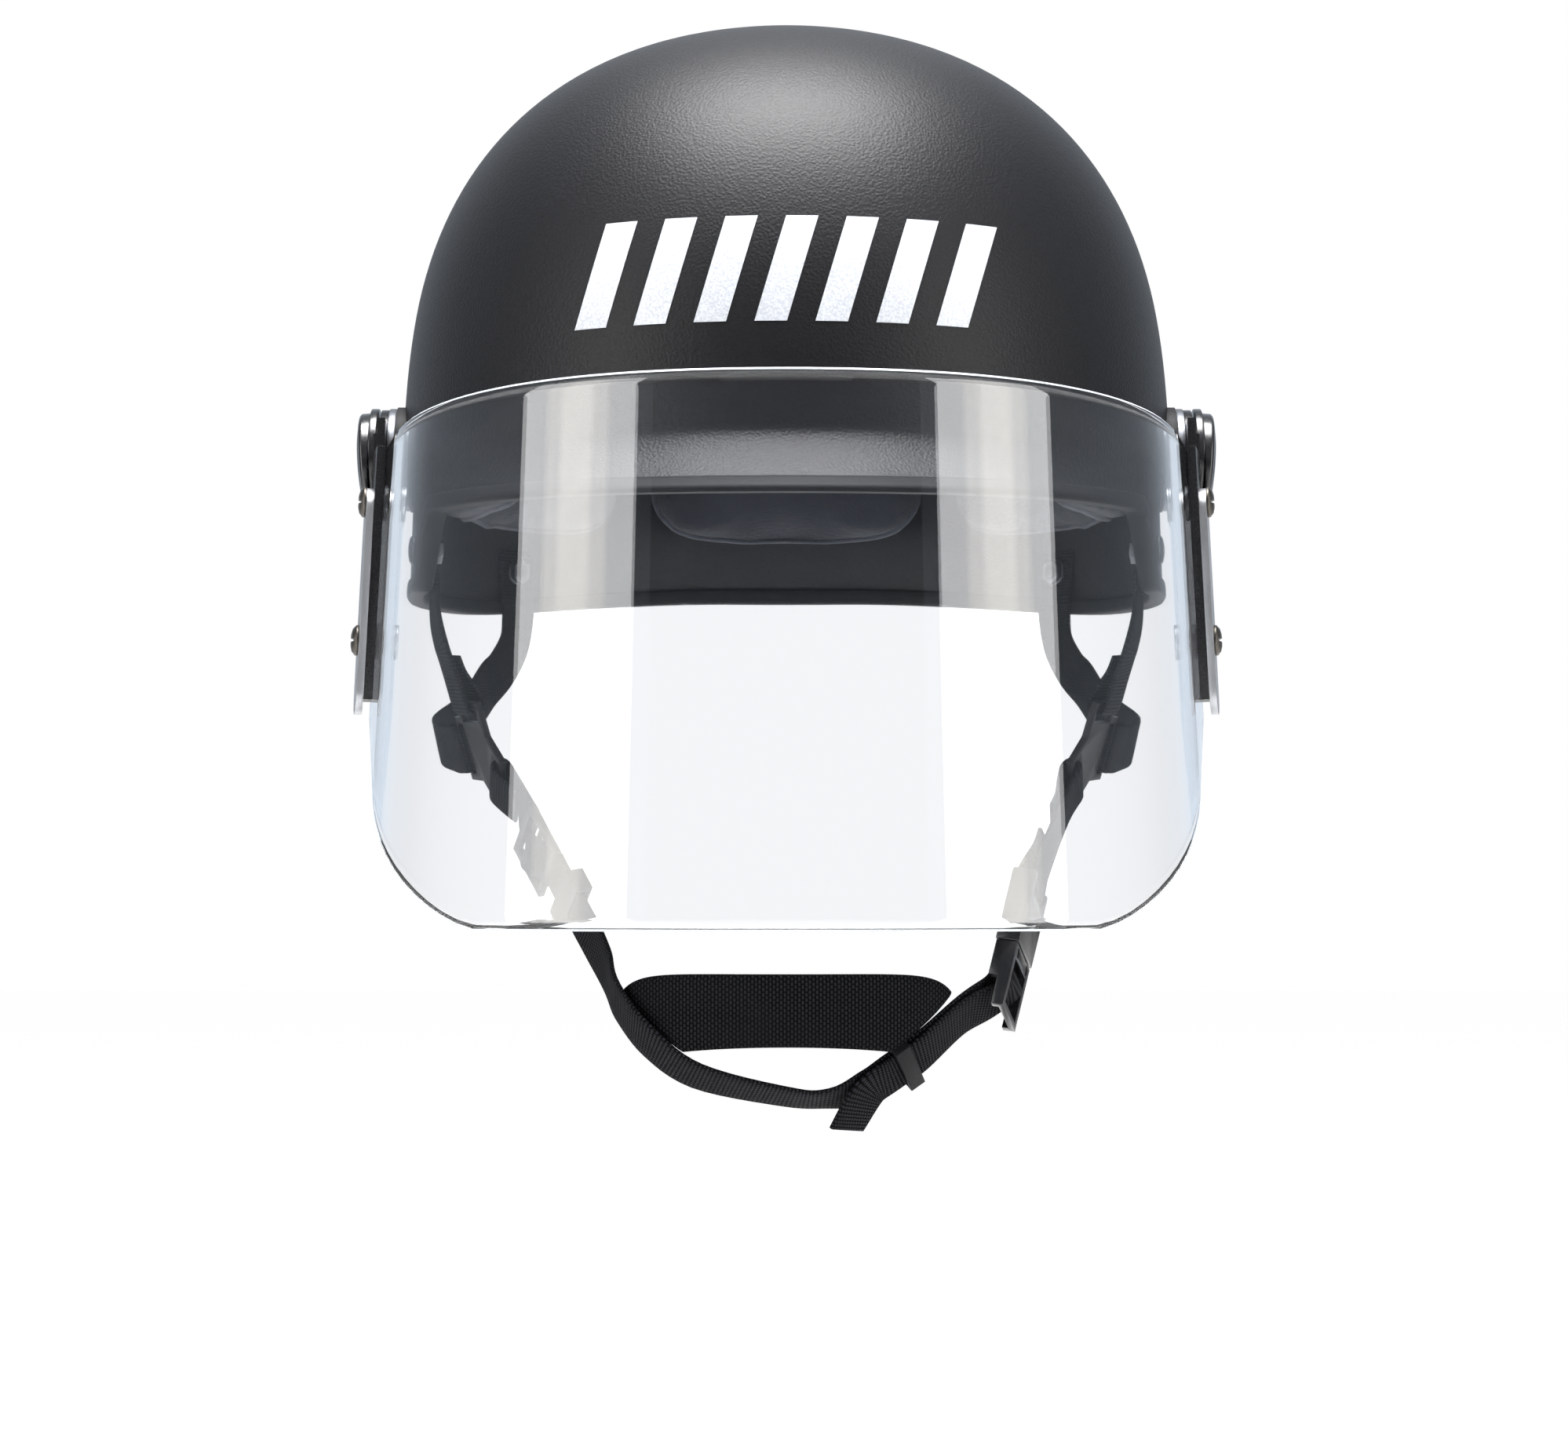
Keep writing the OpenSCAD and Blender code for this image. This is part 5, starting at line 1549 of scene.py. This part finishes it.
        def place(u: float, v: float) -> Vector:
            """Point of the band, u round the chin and v round its section."""
            t = 2 * u - 1
            k, h = row_at(ring, v)
            z = mixed(top - droop * abs(t) ** 6, top - width - sag * t * t, k)
            s, c = sine_cosine(mixed(upper_angle, lower_angle, k) * t)
            out = unit(Vector((s / half, -c / deep, 0)))
            return Vector((half * s, middle - deep * c, z)) + out * (h * thick / 2)

        bm = maker.grid(turns, len(ring) - 1, place)
        maker.unwrap(bm, lambda co, _: (math.atan2(co.x, -(co.y - middle * MM)) * uv_radius, co.z))
        maker.close(bm)
        maker.keep(bm, "chin_cup_band", "chin", Body.HELMET, 70.0, ["chin_cup"])

    def build(self, maker: Maker) -> None:
        """Builds the whole harness."""
        for name, route in (("front_strap", self.front_route()), ("nape_strap", self.nape_route())):
            self.strap(maker, "left_" + name, route)
            self.strap(maker, "right_" + name, self.mirrored(route))
        self.strap(maker, "left_jaw_strap", self.jaw_route())
        self.strap(maker, "under_chin_strap", self.chin_route())
        self.chin_band(maker)
        for node, finish, bevel, body in self.fittings:
            maker.refined(node, finish, bevel, body)


# Liner


@dataclass
class Liner:
    """Foam pads in brushed fabric, held by hook discs."""

    form: ShellForm = field(default_factory=ShellForm)
    back: float = 6.1
    thick: float = 18.0
    rings: tuple[tuple[float, float], ...] = (
        (0.45, 0.0), (0.8, 0.0), (0.95, 0.1), (1.0, 0.5),
        (0.95, 0.84), (0.8, 0.94), (0.55, 0.98), (0.28, 1.0),
    )
    # Name, direction and dome angle of the middle, and half of the width and height in degrees
    spots: tuple[tuple[str, float, float, float, float], ...] = (
        ("crown_pad", 0.0, 0.0, 0.0, 27.0),
        ("front_pad", 0.0, 82.0, 30.0, 19.0),
        ("rear_pad", 180.0, 90.0, 27.0, 24.0),
        ("left_front_pad", 57.0, 94.0, 20.0, 26.0),
        ("left_rear_pad", 122.0, 91.0, 26.0, 23.0),
    )
    squareness: float = 0.55
    rest: float = 0.5
    face: float = 0.9
    cover_columns: int = 64
    cord_columns: int = 160
    cord_sides: int = 8
    seam: float = 0.985
    cord_r: float = 0.0011
    hair: float = 0.0001
    shrink: float = 0.96
    slack: float = 0.93
    cap: float = 0.005
    voxel: float = 0.0045
    pressure: float = 4.0
    frames: int = 20
    wall: BVHTree | None = None

    def build(self, maker: Maker) -> None:
        """Builds the pads; the right side mirrors the left."""
        depth = self.back - self.hair / MM
        wall = maker.grid(160, 70, lambda u, v: self.form.skin(360 * u, 130 * v, depth))
        self.wall = BVHTree.FromBMesh(wall)
        wall.free()
        for name, *spot in self.spots:
            piece = self.pad(maker, name, *spot)
            if name.startswith("left"):
                self.twin(maker, piece, name.replace("left", "right"))
        maker.dress_node("hook_discs", "hook")

    def ring(self, phi: float, q: float, dphi: float, dq: float, t: float, r: float, off: float) -> Vector:
        """Point of a pad's outline.

        Args:
            phi: Direction of its middle in degrees.
            q: Dome angle of its middle.
            dphi: Half of its width in degrees, or 0 for the round crown pad.
            dq: Half of its height.
            t: Angle round the pad in radians.
            r: Share of the outline's size.
            off: Depth below the shell's skin in millimetres.

        Returns:
            The point in millimetres.
        """
        if dphi == 0:
            return self.form.skin(math.degrees(t) % 360, dq * r, off)
        c, s = math.cos(t), math.sin(t)
        across = math.copysign(abs(c) ** self.squareness, c) * r * dphi
        up = math.copysign(abs(s) ** self.squareness, s) * r * dq
        return self.form.skin((phi + across) % 360, q - up, off)

    def pad(self, maker: Maker, name: str, *spot: float) -> Piece:
        """One pad: a crowned closed form, swollen as stuffed cloth, with piping round its edge.

        Args:
            maker: Maker of pieces.
            name: CAD node that it replaces.
            *spot: Its middle and half sizes, as ring takes them.

        Returns:
            The cover.
        """
        rows = [(0.0, 0.0), *self.rings, (0.0, 1.0)]
        size, top = ((self.shrink, self.slack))

        def place(u: float, v: float) -> Vector:
            """Point of the cover, u round it and v from its back to its face."""
            r, h = row_at(rows, v)
            depth = self.back + mixed(self.rest, h, top) * self.thick
            return self.ring(*spot, 2 * math.pi * u, r * size, depth)

        bm = maker.grid(self.cover_columns, len(rows) - 1, place)
        piece = maker.keep(bm, name + "_cover", "pad", Body.HELMET, 180.0, [name])
        self.swell(piece)
        skin = BVHTree.FromObject(piece, bpy.context.evaluated_depsgraph_get())

        def cord(u: float, v: float) -> Vector:
            """Point of the piping, u round the pad and v round the cord."""
            t, a = 2 * math.pi * u, 2 * math.pi * v
            centre = self.ring(*spot, t, self.seam, self.back + self.rest * self.thick) * MM
            near, normal, _, _ = skin.find_nearest(centre)
            inside = self.ring(*spot, t, self.seam, self.back + self.face * self.thick) * MM
            inward = unit(inside - centre)
            round_it = (normal * math.cos(a) + inward * math.sin(a)) * self.cord_r
            return (near + normal * self.hair + round_it) / MM

        rope = maker.grid(self.cord_columns, self.cord_sides, cord)
        maker.keep(rope, name + "_piping", "piping", Body.HELMET, 180.0, slot=name)
        return piece

    def swell(self, piece: Piece) -> None:
        """Inflates a pad's cover as cloth and keeps it off the shell.

        Args:
            piece: The pad's cover; its mesh is replaced by the simulated one.
        """
        scene = bpy.context.scene
        self.bake(piece, "REMESH", mode="VOXEL", voxel_size=self.voxel)
        start = [v.co.copy() for v in piece.data.vertices]
        cloth = piece.modifiers.new("cloth", "CLOTH")
        cloth.settings.use_pressure = True
        cloth.settings.uniform_pressure_force = self.pressure
        cloth.settings.effector_weights.gravity = 0.0
        cloth.settings.quality = 5
        cloth.collision_settings.use_collision = False
        for number in range(1, self.frames + 1):
            scene.frame_set(number)
        self.settle(piece)
        scene.frame_set(1)
        for vert, was in zip(piece.data.vertices, start):
            move = vert.co - was
            vert.co = was + move * min(1.0, self.cap / max(move.length, 1e-9))
        self.bake(piece, "SUBSURF", levels=1, render_levels=1)
        for vert in piece.data.vertices:
            near, normal, _, _ = self.wall.find_nearest(vert.co)
            if (vert.co - near).dot(normal) > 0:
                vert.co = near - normal * self.hair
        piece.data.polygons.foreach_set("use_smooth", [True] * len(piece.data.polygons))

    @classmethod
    def bake(cls, piece: Piece, kind: str, **settings: object) -> None:
        """Applies one modifier to a piece.

        Args:
            piece: The piece.
            kind: Type of the modifier.
            **settings: Its settings.
        """
        modifier = piece.modifiers.new(kind.lower(), kind)
        for key, value in settings.items():
            setattr(modifier, key, value)
        cls.settle(piece)

    @staticmethod
    def settle(piece: Piece) -> None:
        """Replaces a piece's mesh by what its modifiers show, and removes them.

        Args:
            piece: The piece.
        """
        graph = bpy.context.evaluated_depsgraph_get()
        fresh = bpy.data.meshes.new_from_object(piece.evaluated_get(graph))
        old, name = piece.data, piece.data.name
        piece.modifiers.clear()
        piece.data = fresh
        bpy.data.meshes.remove(old)
        fresh.name = name

    def twin(self, maker: Maker, piece: Piece, name: str) -> None:
        """Mirror image of a left pad and its piping on the right.

        Args:
            maker: Maker of pieces.
            piece: The left pad's cover.
            name: CAD node of the right pad.
        """
        rope = bpy.data.objects[piece.name.replace("_cover", "_piping")]
        pair = ((piece, "_cover", "pad", [name]), (rope, "_piping", "piping", []))
        for source, part, finish, stands in pair:
            bm = bmesh.new()
            bm.from_mesh(source.data)
            bmesh.ops.scale(bm, vec=(-1.0, 1.0, 1.0), verts=bm.verts)
            bmesh.ops.reverse_faces(bm, faces=bm.faces)
            made = maker.keep(bm, name + part, finish, Body.HELMET, 180.0, stands, slot=name)


# Whole object


def main() -> None:
    """Builds the room and the object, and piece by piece."""
    logging.basicConfig(level=logging.INFO, format="%(name)s %(message)s")
    Studio().build()
    maker = Maker(Shelf())
    for part in (Shell(), Hinges(), Visor(), Harness(), Liner()):
        part.build(maker)


if __name__ == "__main__":
    main()
